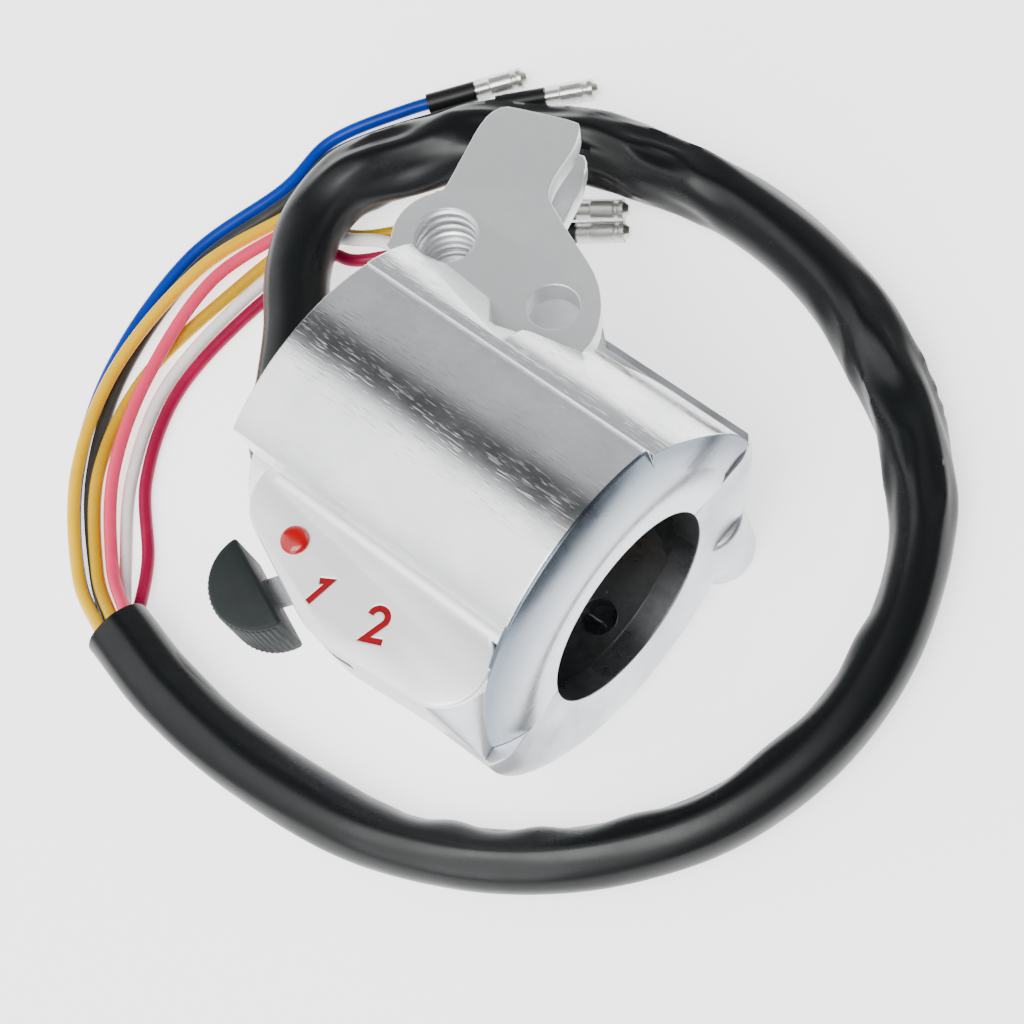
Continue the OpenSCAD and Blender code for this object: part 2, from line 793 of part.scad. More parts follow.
module rotor_plate() {
    color("dimgray") switch_frame() difference() {
        union() {
            translate([0, 0, hub_z]) cylinder(r = hub_r, h = hub_h);
            translate([0, 0, block_z]) linear_extrude(rotor_top - block_z)
                sector(block_in, block_out, block_half);
        }
        cylinder(r = pivot_r + pivot_fit, h = far);
        translate([0, -ball_at, pocket_z]) cylinder(r = ball_pocket_r, h = far);
        translate([-stem_w / 2, -far, stem_z]) cube([stem_w, far - stem_in, stem_t]);
        translate([0, -stem_pin_at, 0]) cylinder(r = stem_pin_r, h = stem_pin_top);
    }
}

module lever_stem() {
    color("silver") switch_frame() difference() {
        translate([-stem_w / 2, -stem_out, stem_z]) cube([stem_w, stem_out - stem_in, stem_t]);
        translate([0, -stem_pin_at, 0]) cylinder(r = stem_pin_r, h = far);
    }
}

module stem_pin() {
    color("gainsboro") switch_frame() translate([0, -stem_pin_at, block_z])
        cylinder(r = stem_pin_r, h = stem_pin_top - block_z);
}

module moving_contact() {
    color("gold") switch_frame() translate([0, 0, wiper_z]) linear_extrude(contact_t)
        sector(common_r - contact_r, track_r + contact_r, 8);
}

module detent_ball() {
    color("gainsboro") switch_frame() translate([0, -ball_at, ball_z]) sphere(r = ball_r);
}

module detent_spring() {
    rise = spring_top - pocket_z - 2 * spring_wire_r;
    steps = spring_turns * spring_steps;
    coil = [for (i = [0 : steps]) let (a = 360 * i / spring_steps)
        [spring_r * cos(a), spring_r * sin(a), pocket_z + spring_wire_r + rise * i / steps]];
    color("lightsteelblue") switch_frame() translate([0, -ball_at, 0])
        tube(coil, spring_wire_r, spring_sides);
}

module thumb_knob() {
    ridge_step = 180 / (knob_ridges + 1);
    color("darkslategray") switch_frame() difference() {
        translate([0, -knob_at, knob_z]) rotate([0, 0, knob_turn]) linear_extrude(knob_h) {
            intersection() {
                circle(knob_r - ridge_r / 2);
                translate([-knob_r, -knob_r]) square([2 * knob_r, knob_r]);
            }
            for (k = [1 : knob_ridges]) rotate(180 + k * ridge_step) translate([knob_r - ridge_r, 0])
                circle(ridge_r, $fn = 24);
        }
        translate([-stem_w / 2, -stem_out, stem_z]) cube([stem_w, stem_out, stem_t]);
    }
}

// Harness

module cable_grommet() {
    color("black") difference() {
        union() {
            along_x(-end_x, -end_x + grommet_in) translate(port) circle(d = grommet_d);
            along_x(lead_end, -end_x) translate(port) circle(d = grommet_d + 2 * grommet_lip);
        }
        along_x(lead_end - 1, 0) translate(port) circle(grommet_bore);
    }
}

// A place beside the wall of the lower casing, forward and up
function lead_place(turn) = [0, lower_lift] + (lower_r - lead_inset) * [cos(turn), sin(turn)];

// Four leads that gather into a diamond and leave through the grommet
module inner_leads() {
    starts = [contact_spot(0, track_r), contact_spot(1, common_r), contact_spot(1, track_r),
        contact_spot(2, track_r)];
    side = lead_place(lead_side_turn);
    bend = lead_place(lead_bend_turn);
    color("darkslateblue") for (i = [0 : 3]) {
        s = starts[i];
        dy = lead_cells[i][0] * lead_spread;
        dz = lead_cells[i][1] * lead_spread;
        tube([
            [s[0], s[1], lead_top], [s[0] - lead_offset, min(s[1], lead_clear_y), 0],
            [lead_side_x - 1.2 * dz, side[0] + 1.2 * dy, side[1]],
            [lead_bend_x - 0.8 * dz, bend[0] + 1.1 * dy, bend[1] + 0.8 * dz],
            [-bay_x, port[0] + dy, port[1] + dz], [lead_end, port[0] + dy, port[1] + dz]
        ], lead_r, 8, [0, 1, 0]);
    }
}

module harness_sleeve() {
    color("black") tube(sleeve_points, sleeve_r, 12);
}

// Points of one wire: its lane through the bundle, then its own tail
function wire_points(w) = concat(
    [for (i = [0 : len(bundle_points) - 1])
        let (t = unit(bundle_ways[i]), place = bundle_points[i] + w[3][i][0] * [-t[1], t[0]])
        [place[0], place[1], floor_z + w[3][i][1]]],
    [for (p = w[4]) [p[0], p[1], floor_z + p[2]]]);

module wire(w) {
    color(w[1]) tube(wire_points(w), wire_r, 8);
}

// Puts a shape drawn along Z at the end of a wire, along its last stretch
module at_wire_end(w) {
    p = wire_points(w);
    last = len(p) - 1;
    run = p[last] - p[last - 1];
    translate(p[last]) rotate([0, 90, atan2(run[1], run[0])]) children();
}

module ring_solid(r_in, r_out, from, to) {
    translate([0, 0, from]) difference() {
        cylinder(r = r_out, h = to - from, $fn = 32);
        translate([0, 0, -1]) cylinder(r = r_in, h = to - from + 2, $fn = 32);
    }
}

module boot(w) {
    color("black") at_wire_end(w)
        ring_solid(wire_r + boot_fit, wire_r + boot_fit + boot_wall, -w[2], boot_lap);
}

module bullet(w) {
    neck_r = 0.8 * bullet_r;
    barrel_z = crimp_len + 0.2;
    neck_z = 0.74 * bullet_len;
    color("silver") at_wire_end(w) rotate_extrude($fn = 32) polygon([
        [0, 0], [wire_r, 0], [wire_r, crimp_len], [bullet_r, barrel_z], [bullet_r, neck_z],
        [neck_r, neck_z + 0.2], [neck_r, neck_z + 0.5], [bullet_r, neck_z + 0.7],
        [bullet_r, bullet_len - 0.6], [0.55 * bullet_r, bullet_len], [0, bullet_len]
    ]);
}

module cover(w) {
    color("lightcyan", 0.5) at_wire_end(w)
        ring_solid(bullet_r + 0.02, bullet_r + 0.02 + cover_wall, cover_from, cover_to);
}

upper_casing();
lower_casing();
casing_screws();
screw_washers();
contact_board();
board_screws();
fixed_contacts();
solder_tabs();
pivot_pin();
cable_grommet();
inner_leads();
position_dot();
position_marks();
rotor_plate();
lever_stem();
stem_pin();
thumb_knob();
moving_contact();
detent_ball();
detent_spring();
harness_sleeve();
for (w = wires) {
    wire(w);
    boot(w);
    bullet(w);
    cover(w);
}
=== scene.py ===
import bmesh
import bpy
import math
from mathutils import Matrix, Vector, geometry, noise


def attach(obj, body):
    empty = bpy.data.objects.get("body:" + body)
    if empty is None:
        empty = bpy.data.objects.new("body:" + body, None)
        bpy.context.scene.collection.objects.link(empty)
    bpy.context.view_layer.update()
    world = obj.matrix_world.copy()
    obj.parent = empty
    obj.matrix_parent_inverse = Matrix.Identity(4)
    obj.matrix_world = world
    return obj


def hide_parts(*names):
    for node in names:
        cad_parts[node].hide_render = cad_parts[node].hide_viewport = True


# Handlebar switch cluster. Sizes are in millimetres and scaled to metres where a mesh is made.
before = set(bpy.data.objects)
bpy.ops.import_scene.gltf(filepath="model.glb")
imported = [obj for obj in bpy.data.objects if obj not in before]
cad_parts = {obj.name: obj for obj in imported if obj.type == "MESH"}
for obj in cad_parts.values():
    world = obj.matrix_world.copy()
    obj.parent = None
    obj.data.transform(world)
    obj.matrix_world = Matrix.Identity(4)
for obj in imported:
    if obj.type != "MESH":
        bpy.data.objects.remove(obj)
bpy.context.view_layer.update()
mm = 0.001
alongBar = Matrix(((0, 0, 1, 0), (1, 0, 0, 0), (0, 1, 0, 0), (0, 0, 0, 1)))
upright = Matrix.Identity(4)


# Camera: the photograph's place and direction, solved from the bore, panel and bracket edges
camera = {
    "place": (105.19, -38.08, 249.02),
    "right": (0.75848, 0.61534, -0.21464),
    "down": (0.53243, -0.77502, -0.34039),
    "forward": (-0.37581, 0.1439, -0.91546),
    "focalPixels": 2663,
    "imagePixels": 1024,
    "sensorWidth": 36,
    "clip": (0.01, 20),
}


def makeCamera():
    data = bpy.data.cameras.new("photoCamera")
    data.sensor_width = camera["sensorWidth"]
    data.lens = camera["sensorWidth"] * camera["focalPixels"] / camera["imagePixels"]
    data.clip_start, data.clip_end = camera["clip"]
    cameraObject = bpy.data.objects.new("photoCamera", data)
    bpy.context.scene.collection.objects.link(cameraObject)
    columns = [Vector(camera["right"]), -Vector(camera["down"]), -Vector(camera["forward"])]
    turn = Matrix(columns).transposed().to_4x4()
    cameraObject.matrix_world = Matrix.Translation(Vector(camera["place"]) * mm) @ turn
    bpy.context.scene.camera = cameraObject


makeCamera()
print("stage: camera")


# Mesh helpers

def turned(angle, axis="Z"):
    return Matrix.Rotation(math.radians(angle), 4, axis)


def moved(x, y, z):
    return Matrix.Translation((x, y, z))


def meshObject(name, points, faces, material=None):
    mesh = bpy.data.meshes.new(name)
    mesh.from_pydata([Vector(p) * mm for p in points], [], faces)
    shape = bmesh.new()
    shape.from_mesh(mesh)
    bmesh.ops.recalc_face_normals(shape, faces=shape.faces)
    shape.to_mesh(mesh)
    shape.free()
    if material:
        mesh.materials.append(material)
    piece = bpy.data.objects.new(name, mesh)
    bpy.context.scene.collection.objects.link(piece)
    return piece


def arc(centre, radius, start, end, steps):
    angles = [math.radians(start + (end - start) * i / steps) for i in range(steps + 1)]
    return [(centre[0] + radius * math.cos(a), centre[1] + radius * math.sin(a)) for a in angles]


def circle(centre, radius, sides):
    return arc(centre, radius, 0, 360 - 360 / sides, sides - 1)


def loft(name, rings, material=None):
    count = len(rings[0])
    points = [p for ring in rings for p in ring]
    faces = [list(range(count)), list(range(len(points) - count, len(points)))]
    for row in range(len(rings) - 1):
        for k in range(count):
            a = row * count + k
            b = row * count + (k + 1) % count
            faces.append([a, b, b + count, a + count])
    return meshObject(name, points, faces, material)


# A flat outline pulled from one height to another, then placed by a matrix
def prism(name, outline, low, high, place=upright, material=None):
    rings = [[place @ Vector((u, v, height)) for u, v in outline] for height in (low, high)]
    return loft(name, rings, material)


# A profile of (along the bar, radius) points turned about the bar axis
def lathe(name, profile, sides, material=None, lift=0):
    rings = []
    for x, radius in profile:
        angles = [2 * math.pi * k / sides for k in range(sides)]
        rings.append([(x, radius * math.cos(a), lift + radius * math.sin(a)) for a in angles])
    return loft(name, rings, material)


def cylinder(name, radius, low, high, place=upright, sides=64, material=None):
    return prism(name, circle((0, 0), radius, sides), low, high, place, material)


def box(name, low, high, place=upright, material=None):
    outline = [(low[0], low[1]), (high[0], low[1]), (high[0], high[1]), (low[0], high[1])]
    return prism(name, outline, low[2], high[2], place, material)


# The outline round several circles given as (x, y, radius)
def hullOutline(circles, inset=0, sides=64):
    spots = []
    for x, y, radius in circles:
        spots += circle((x, y), radius - inset, sides)
    return [spots[i] for i in geometry.convex_hull_2d(spots)]


# One pass of corner cutting, which softens an outline
def softOutline(points, share=0.2):
    outline = []
    for i, here in enumerate(points):
        ahead = points[(i + 1) % len(points)]
        for t in (share, 1 - share):
            outline.append((here[0] + (ahead[0] - here[0]) * t, here[1] + (ahead[1] - here[1]) * t))
    return outline


def bakeModifiers(piece):
    evaluated = piece.evaluated_get(bpy.context.evaluated_depsgraph_get())
    baked = bpy.data.meshes.new_from_object(evaluated)
    piece.modifiers.clear()
    piece.data = baked


def roundEdges(piece, width, segments=3, angle=35):
    modifier = piece.modifiers.new("round", "BEVEL")
    modifier.width = width * mm
    modifier.segments = segments
    modifier.limit_method = "ANGLE"
    modifier.angle_limit = math.radians(angle)
    modifier.use_clamp_overlap = True
    bakeModifiers(piece)


def combine(piece, tools, operation):
    for tool in tools:
        modifier = piece.modifiers.new("combine", "BOOLEAN")
        modifier.operation = operation
        modifier.solver = "EXACT"
        modifier.material_mode = "TRANSFER"
        modifier.object = tool
        bakeModifiers(piece)
        bpy.data.objects.remove(tool)
    return piece


def smooth(piece, angle=32):
    piece.data.polygons.foreach_set("use_smooth", [True] * len(piece.data.polygons))
    piece.data.set_sharp_from_angle(angle=math.radians(angle))


def settle(piece, body, slotName, *nodes):
    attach(piece, body)
    if nodes:
        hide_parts(*nodes)
    return piece


# Shader helpers

def addNode(tree, kind, values=None, **settings):
    node = tree.nodes.new(kind)
    for key, value in settings.items():
        setattr(node, key, value)
    for key, value in (values or {}).items():
        node.inputs[key].default_value = value
    return node


def newMaterial(name, values):
    material = bpy.data.materials.new(name)
    material.use_nodes = True
    shader = material.node_tree.nodes["Principled BSDF"]
    for key, value in values.items():
        shader.inputs[key].default_value = value
    return material, material.node_tree, shader


# A shader group with its float inputs and outputs
def newGroup(name, inputs, outputs):
    group = bpy.data.node_groups.new(name, "ShaderNodeTree")
    for socketName, value in inputs:
        socket = group.interface.new_socket(socketName, in_out="INPUT", socket_type="NodeSocketFloat")
        socket.default_value = value
    for socketName in outputs:
        group.interface.new_socket(socketName, in_out="OUTPUT", socket_type="NodeSocketFloat")
    return group, addNode(group, "NodeGroupInput"), addNode(group, "NodeGroupOutput")


# Fine handling scratches and the dull haze between them, from object coordinates
scratches = {
    "scale": 420,
    "lines": ((0.5, 9), (-0.7, 11), (1.9, 8), (-1.6, 10)),  # a turn in radians, and how thin for its length
    "lean": 0.5,
    "tip": 0.3,
    "from": 0.66,
    "full": 0.74,
}


def makeScratchGroup():
    inputs = (("Scale", 1.0), ("Haze Scale", 120.0))
    group, entry, leave = newGroup("surfaceScratches", inputs, ("Height", "Haze"))
    place = addNode(group, "ShaderNodeTexCoord")
    heights = []
    for turn, thinness in scratches["lines"]:
        rotation = (scratches["lean"] * turn, scratches["tip"], turn)
        across = scratches["scale"] * thinness
        scale = (scratches["scale"], across, across)
        mapping = addNode(group, "ShaderNodeMapping", {"Rotation": rotation, "Scale": scale})
        texture = addNode(group, "ShaderNodeTexNoise", {"Detail": 1, "Roughness": 0.5})
        limits = {"From Min": scratches["from"], "From Max": scratches["full"]}
        ramp = addNode(group, "ShaderNodeMapRange", limits)
        group.links.new(place.outputs["Object"], mapping.inputs["Vector"])
        group.links.new(mapping.outputs["Vector"], texture.inputs["Vector"])
        group.links.new(entry.outputs["Scale"], texture.inputs["Scale"])
        group.links.new(texture.outputs["Fac"], ramp.inputs["Value"])
        heights.append(ramp)
    total = heights[0].outputs["Result"]
    for ramp in heights[1:]:
        joined = addNode(group, "ShaderNodeMath", operation="MAXIMUM")
        group.links.new(total, joined.inputs[0])
        group.links.new(ramp.outputs["Result"], joined.inputs[1])
        total = joined.outputs[0]
    haze = addNode(group, "ShaderNodeTexNoise", {"Detail": 5, "Roughness": 0.65})
    group.links.new(place.outputs["Object"], haze.inputs["Vector"])
    group.links.new(entry.outputs["Haze Scale"], haze.inputs["Scale"])
    group.links.new(total, leave.inputs["Height"])
    group.links.new(haze.outputs["Fac"], leave.inputs["Haze"])
    return group


# Fine even grain, such as a cast or moulded skin
def makeGrainGroup():
    inputs = (("Grain Scale", 3000.0), ("Patch Scale", 160.0))
    group, entry, leave = newGroup("skinGrain", inputs, ("Grain", "Patches"))
    place = addNode(group, "ShaderNodeTexCoord")
    grain = addNode(group, "ShaderNodeTexNoise", {"Detail": 3, "Roughness": 0.55})
    patches = addNode(group, "ShaderNodeTexNoise", {"Detail": 4, "Roughness": 0.6})
    for texture, size, result in ((grain, "Grain Scale", "Grain"), (patches, "Patch Scale", "Patches")):
        group.links.new(place.outputs["Object"], texture.inputs["Vector"])
        group.links.new(entry.outputs[size], texture.inputs["Scale"])
        group.links.new(texture.outputs["Fac"], leave.inputs[result])
    return group


scratchGroup = makeScratchGroup()
grainGroup = makeGrainGroup()


def addGroup(tree, group, values=None):
    node = addNode(tree, "ShaderNodeGroup", node_tree=group)
    for key, value in (values or {}).items():
        node.inputs[key].default_value = value
    return node


def mapRange(tree, source, low, high, fromLow=0.3, fromHigh=0.7):
    node = addNode(tree, "ShaderNodeMapRange")
    for key, value in (("From Min", fromLow), ("From Max", fromHigh), ("To Min", low), ("To Max", high)):
        node.inputs[key].default_value = value
    tree.links.new(source, node.inputs["Value"])
    return node.outputs["Result"]


def mixColours(tree, factor, first, second):
    node = addNode(tree, "ShaderNodeMix", data_type="RGBA")
    node.inputs["A"].default_value = (*first, 1)
    node.inputs["B"].default_value = (*second, 1)
    tree.links.new(factor, node.inputs["Factor"])
    return node.outputs["Result"]


def addBump(tree, shader, height, strength, distance, edge=0):
    bump = addNode(tree, "ShaderNodeBump", {"Strength": strength, "Distance": distance * mm})
    tree.links.new(height, bump.inputs["Height"])
    if edge:
        bevel = addNode(tree, "ShaderNodeBevel", {"Radius": edge * mm}, samples=6)
        tree.links.new(bevel.outputs["Normal"], bump.inputs["Normal"])
    tree.links.new(bump.outputs["Normal"], shader.inputs["Normal"])


# Materials

polish = {
    "haze": 150,
    "rough": (0.13, 0.26),
    "light": (0.95, 0.96, 0.97),
    "dark": (0.74, 0.755, 0.775),
    "scratch": (0.32, 0.02),  # strength, and depth in millimetres
    "edge": 0.25,
}


def makePolished():
    material, tree, shader = newMaterial("polishedAluminium", {"Metallic": 1})
    wear = addGroup(tree, scratchGroup, {"Scale": 1.0, "Haze Scale": polish["haze"]})
    tree.links.new(mapRange(tree, wear.outputs["Haze"], *polish["rough"]), shader.inputs["Roughness"])
    shade = mapRange(tree, wear.outputs["Haze"], 0, 1)
    tree.links.new(mixColours(tree, shade, polish["light"], polish["dark"]), shader.inputs["Base Color"])
    addBump(tree, shader, wear.outputs["Height"], *polish["scratch"], polish["edge"])
    return material


# The domed end: its colour darkens towards the outer edge, in place of a dark room reflected there
dome = {
    "haze": 150,
    "rough": (0.2, 0.34),
    "innerRadius": 13.5,
    "inner": (0.74, 0.76, 0.79),
    "outerRadius": 19.6,
    "outer": (0.2, 0.235, 0.28),
    "scratch": (0.14, 0.015),
    "edge": 0.25,
}


def makeDomeSkin():
    material, tree, shader = newMaterial("domeAluminium", {"Metallic": 1})
    wear = addGroup(tree, scratchGroup, {"Scale": 1.0, "Haze Scale": dome["haze"]})
    tree.links.new(mapRange(tree, wear.outputs["Haze"], *dome["rough"]), shader.inputs["Roughness"])
    place = addNode(tree, "ShaderNodeTexCoord")
    flat = addNode(tree, "ShaderNodeVectorMath", operation="MULTIPLY")
    flat.inputs[1].default_value = (0, 1, 1)
    reach = addNode(tree, "ShaderNodeVectorMath", operation="LENGTH")
    tree.links.new(place.outputs["Object"], flat.inputs[0])
    tree.links.new(flat.outputs["Vector"], reach.inputs[0])
    outward = mapRange(tree, reach.outputs["Value"], 0, 1, dome["innerRadius"] * mm, dome["outerRadius"] * mm)
    tree.links.new(mixColours(tree, outward, dome["inner"], dome["outer"]), shader.inputs["Base Color"])
    addBump(tree, shader, wear.outputs["Height"], *dome["scratch"], dome["edge"])
    return material


# Colour, gloss and grain that vary over a cast or moulded skin
skins = {"castPatches": 170, "mouldedPatches": 200, "depth": 0.05}


def addSkin(tree, shader, scales, light, dark, rough, strength, edge):
    skin = addGroup(tree, grainGroup, {"Grain Scale": scales[0], "Patch Scale": scales[1]})
    tree.links.new(mapRange(tree, skin.outputs["Patches"], *rough), shader.inputs["Roughness"])
    shade = mapRange(tree, skin.outputs["Patches"], 0, 1)
    tree.links.new(mixColours(tree, shade, light, dark), shader.inputs["Base Color"])
    addBump(tree, shader, skin.outputs["Grain"], strength, skins["depth"], edge)


def makeCast(name, light, dark, rough, grainScale=2600, strength=0.18, edge=0.3, metallic=1):
    material, tree, shader = newMaterial(name, {"Metallic": metallic})
    addSkin(tree, shader, (grainScale, skins["castPatches"]), light, dark, rough, strength, edge)
    return material


def makePlastic(name, light, dark, rough, grainScale=2600, strength=0.15, edge=0, coat=0, gloss=0.4):
    values = {"Coat Weight": coat, "Coat Roughness": 0.12, "Specular IOR Level": gloss}
    material, tree, shader = newMaterial(name, values)
    addSkin(tree, shader, (grainScale, skins["mouldedPatches"]), light, dark, rough, strength, edge)
    return material


def makeClear():
    values = {"Base Color": (0.93, 0.95, 0.95, 1), "Transmission Weight": 0.92, "IOR": 1.45}
    material, tree, shader = newMaterial("clearCover", values)
    skin = addGroup(tree, grainGroup, {"Grain Scale": 900, "Patch Scale": 300})
    tree.links.new(mapRange(tree, skin.outputs["Patches"], low=0.08, high=0.3), shader.inputs["Roughness"])
    addBump(tree, shader, skin.outputs["Grain"], strength=0.1, distance=skins["depth"])
    return material


polished = makePolished()
domeSkin = makeDomeSkin()
cast = makeCast("castAluminium", (0.95, 0.955, 0.965), (0.84, 0.85, 0.865), rough=(0.3, 0.44),
                edge=0.25, metallic=0.85)
lowerSkin = makeCast("lowerAluminium", (0.66, 0.68, 0.71), (0.54, 0.56, 0.59), rough=(0.26, 0.42), edge=0.25)
panelSkin = makeCast("panelAluminium", (0.95, 0.95, 0.945), (0.87, 0.87, 0.875), rough=(0.34, 0.46),
                     metallic=0.6)
boreSkin = makeCast("boreAluminium", (0.42, 0.43, 0.44), (0.12, 0.125, 0.13), rough=(0.22, 0.45))
steel = makeCast("plainSteel", (0.6, 0.61, 0.63), (0.5, 0.51, 0.53), rough=(0.25, 0.4), edge=0)
brass = makeCast("contactBrass", (0.8, 0.6, 0.27), (0.66, 0.48, 0.2), rough=(0.25, 0.45), edge=0)
tinned = makeCast("tinnedBrass", (0.78, 0.76, 0.7), (0.66, 0.62, 0.54), rough=(0.2, 0.38), edge=0)
sleeveSkin = makePlastic("sleeveVinyl", (0.006, 0.0075, 0.008), (0.003, 0.0035, 0.004), rough=(0.24, 0.34),
                         grainScale=1200, strength=0.1, gloss=0.28)
bootSkin = makePlastic("bootVinyl", (0.008, 0.009, 0.009), (0.005, 0.005, 0.006), rough=(0.3, 0.45),
                       gloss=0.25)
rubber = makePlastic("grommetRubber", (0.02, 0.02, 0.02), (0.012, 0.012, 0.012), rough=(0.55, 0.7))
knobSkin = makePlastic("knobPlastic", (0.011, 0.015, 0.016), (0.006, 0.009, 0.01), rough=(0.42, 0.58),
                       grainScale=1800, strength=0.2, edge=0.25, gloss=0.25)
moulding = makePlastic("blackMoulding", (0.02, 0.02, 0.021), (0.014, 0.014, 0.015), rough=(0.45, 0.6))
board = makePlastic("phenolicBoard", (0.3, 0.15, 0.07), (0.2, 0.1, 0.05), rough=(0.4, 0.6))
leadSkin = makePlastic("leadInsulation", (0.06, 0.06, 0.08), (0.04, 0.04, 0.05), rough=(0.35, 0.5))
enamel = makePlastic("redEnamel", (0.42, 0.0, 0.004), (0.34, 0.0, 0.003), rough=(0.1, 0.18), grainScale=400,
                     strength=0.05, coat=0.4)
paint = makePlastic("markPaint", (0.3, 0.0, 0.006), (0.22, 0.0, 0.004), rough=(0.2, 0.3), grainScale=1500,
                    strength=0.2, gloss=0.25)
clear = makeClear()
wireColours = {
    "blue": ((0.0, 0.035, 0.36), (0.0, 0.025, 0.27)),
    "grey": ((0.05, 0.05, 0.05), (0.03, 0.03, 0.03)),
    "yellow": ((0.85, 0.5, 0.0), (0.76, 0.43, 0.0)),
    # amber: a second yellow wire; its darker yellow is painted shade, for it lies in shadow beneath the other
    # wires
    "amber": ((0.62, 0.36, 0.0), (0.5, 0.28, 0.0)),
    "pink": ((0.85, 0.05, 0.14), (0.74, 0.04, 0.11)),
    "white": ((0.9, 0.88, 0.86), (0.8, 0.77, 0.75)),
    "red": ((0.33, 0.005, 0.05), (0.22, 0.003, 0.03)),
}
wireSkins = {
    name: makePlastic("wire" + name.capitalize(), light, dark, rough=(0.25, 0.36), grainScale=1500,
                      strength=0.06, gloss=0.2)
    for name, (light, dark) in wireColours.items()
}
print("stage: materials")


# Harness: the sleeve's route, then the loose wires, as they lie in the CAD source
harness = {
    "floor": -20.4,
    "sleeveRadius": 4,
    "sleeveRest": -16.4,
    "wireRadius": 0.75,
    "terminal": 1.25,
    "stepsPerPoint": 22,
    "sleeveSides": 48,
    "wireSides": 14,
    "mouth": ((0.9, 0), (0.86, 4), (0.86, 40)),  # the hollow end: share of the radius, and steps back
}
rest = harness["sleeveRest"]
sleeveRoute = [
    (-20.5, -7.8, -13.4), (-25, -7.8, -13.4), (-29.5, -5, -13.4), (-33.5, 1, -13.5), (-37, 6.2, -13.6),
    (-41.3, 11.4, -13.6), (-43.8, 16.8, -13.6), (-44, 22, -13.6), (-42.2, 26.5, -13.7), (-39.6, 30.3, -14),
    (-34.8, 36.4, -14.8), (-28.2, 41.1, -15.8), (-21, 44.2, rest), (-6, 46.6, rest), (9, 44.6, rest),
    (22.5, 38.2, rest), (32, 29.5, rest), (37.5, 18, rest), (39, 5, rest), (36, -8, rest),
    (29, -18.5, rest), (19, -27, rest), (6, -33, rest), (-9, -35.2, rest), (-22, -34.6, rest),
    (-32, -32.4, rest),
]
bundlePoints = [(-32, -32.4), (-39, -28), (-47, -19.5), (-52, -8), (-52, 6), (-48.5, 18)]
# The way the bundle heads at each of those points
bundleWays = [(-10, 2.2), (-8, 6), (-6, 10), (-2.5, 13), (2, 13), (4, 10)]
end = harness["terminal"]
# Each lane is a wire's (side, height) in the bundle at one of those points; the tail is (x, y, height)
wireRoutes = {
    "blue": {
        "lanes": [(1.7, 2.35), (3.6, 0.8), (3.8, 0.8), (4.1, 0.8), (5.4, 0.8), (5.3, 0.8)],
        "tail": [(-52.6, 28, 0.8), (-47.3, 35.9, end), (-42.2, 41.9, end)],
    },
    "grey": {
        "lanes": [(0.85, 4), (1.7, 0.8), (2, 0.8), (2.4, 0.8), (3.7, 0.8), (3.6, 0.8)],
        "tail": [(-50.8, 27.6, 0.8), (-42, 38.8, end), (-34.6, 45.8, end)],
    },
    "yellow": {
        "lanes": [(1.7, 5.6), (3.2, 2.5), (3.2, 2.5), (2.6, 2.5), (2.3, 2.5), (1.9, 0.8)],
        "tail": [(-49.6, 23.5, 0.8), (-48.2, 27.4, end), (-47.1, 28.8, end)],
    },
    "amber": {
        "lanes": [(0, 5.6), (0.9, 2.5), (0.5, 2.5), (-0.3, 0.8), (-2, 0.8), (-2, 0.8)],
        "tail": [(-40.2, 21.4, 0.8), (-28.4, 32.8, end), (-22.6, 36.5, end)],
    },
    "pink": {
        "lanes": [(-1.7, 5.6), (-0.9, 2.5), (-1.3, 2.5), (-1.6, 2.5), (0, 2.5), (-0.2, end)],
        "tail": [(-47.8, 19.6, end)],
    },
    "white": {
        "lanes": [(-0.85, 4), (-1.9, 0.8), (-2.9, 0.8), (-3.4, 0.8), (-3.8, 0.8), (-4, 1.7)],
        "tail": [(-40.6, 19.5, 2.6), (-36.4, 21.2, 3.1), (-32, 21.6, end), (-29.2, 23.8, end)],
    },
    "red": {
        "lanes": [(-1.7, 2.3), (-4.6, 0.8), (-4.7, 0.8), (-5.1, 0.8), (-5.6, 0.8), (-5.6, 0.8)],
        "tail": [(-39, 18.5, 0.8), (-26.9, 29.9, end), (-20.7, 34.2, end)],
    },
}


# A smooth line through the route's points
def smoothRoute(points, steps):
    spots = [Vector(p) for p in points]
    spots = [2 * spots[0] - spots[1]] + spots + [2 * spots[-1] - spots[-2]]
    route = []
    for i in range(1, len(spots) - 2):
        a, b, c, d = spots[i - 1:i + 3]
        for k in range(steps):
            t = k / steps
            bend = (c - a) * t + (2 * a - 5 * b + 4 * c - d) * t ** 2 + (3 * b - a - 3 * c + d) * t ** 3
            route.append(b + bend / 2)
    route.append(spots[-2])
    return route


# A tube round a route; reach gives the radius at a distance along and an angle round it
def tubeRings(route, sides, reach):
    rings = []
    travelled = 0
    for i, here in enumerate(route):
        ahead = route[min(i + 1, len(route) - 1)] - route[max(i - 1, 0)]
        across = Vector((0, 0, 1)).cross(ahead).normalized()
        up = ahead.normalized().cross(across)
        if i:
            travelled += (here - route[i - 1]).length
        ring = []
        for k in range(sides):
            a = 2 * math.pi * k / sides
            ring.append(here + (math.cos(a) * across + math.sin(a) * up) * reach(travelled, a))
        rings.append(ring)
    return rings


# How far along the sleeve lies inside a stretch, eased at both ends
def stretch(along, start, stop, ease):
    share = min((along - start) / ease, (stop - along) / ease)
    share = max(0, min(1, share))
    return share * share * (3 - 2 * share)


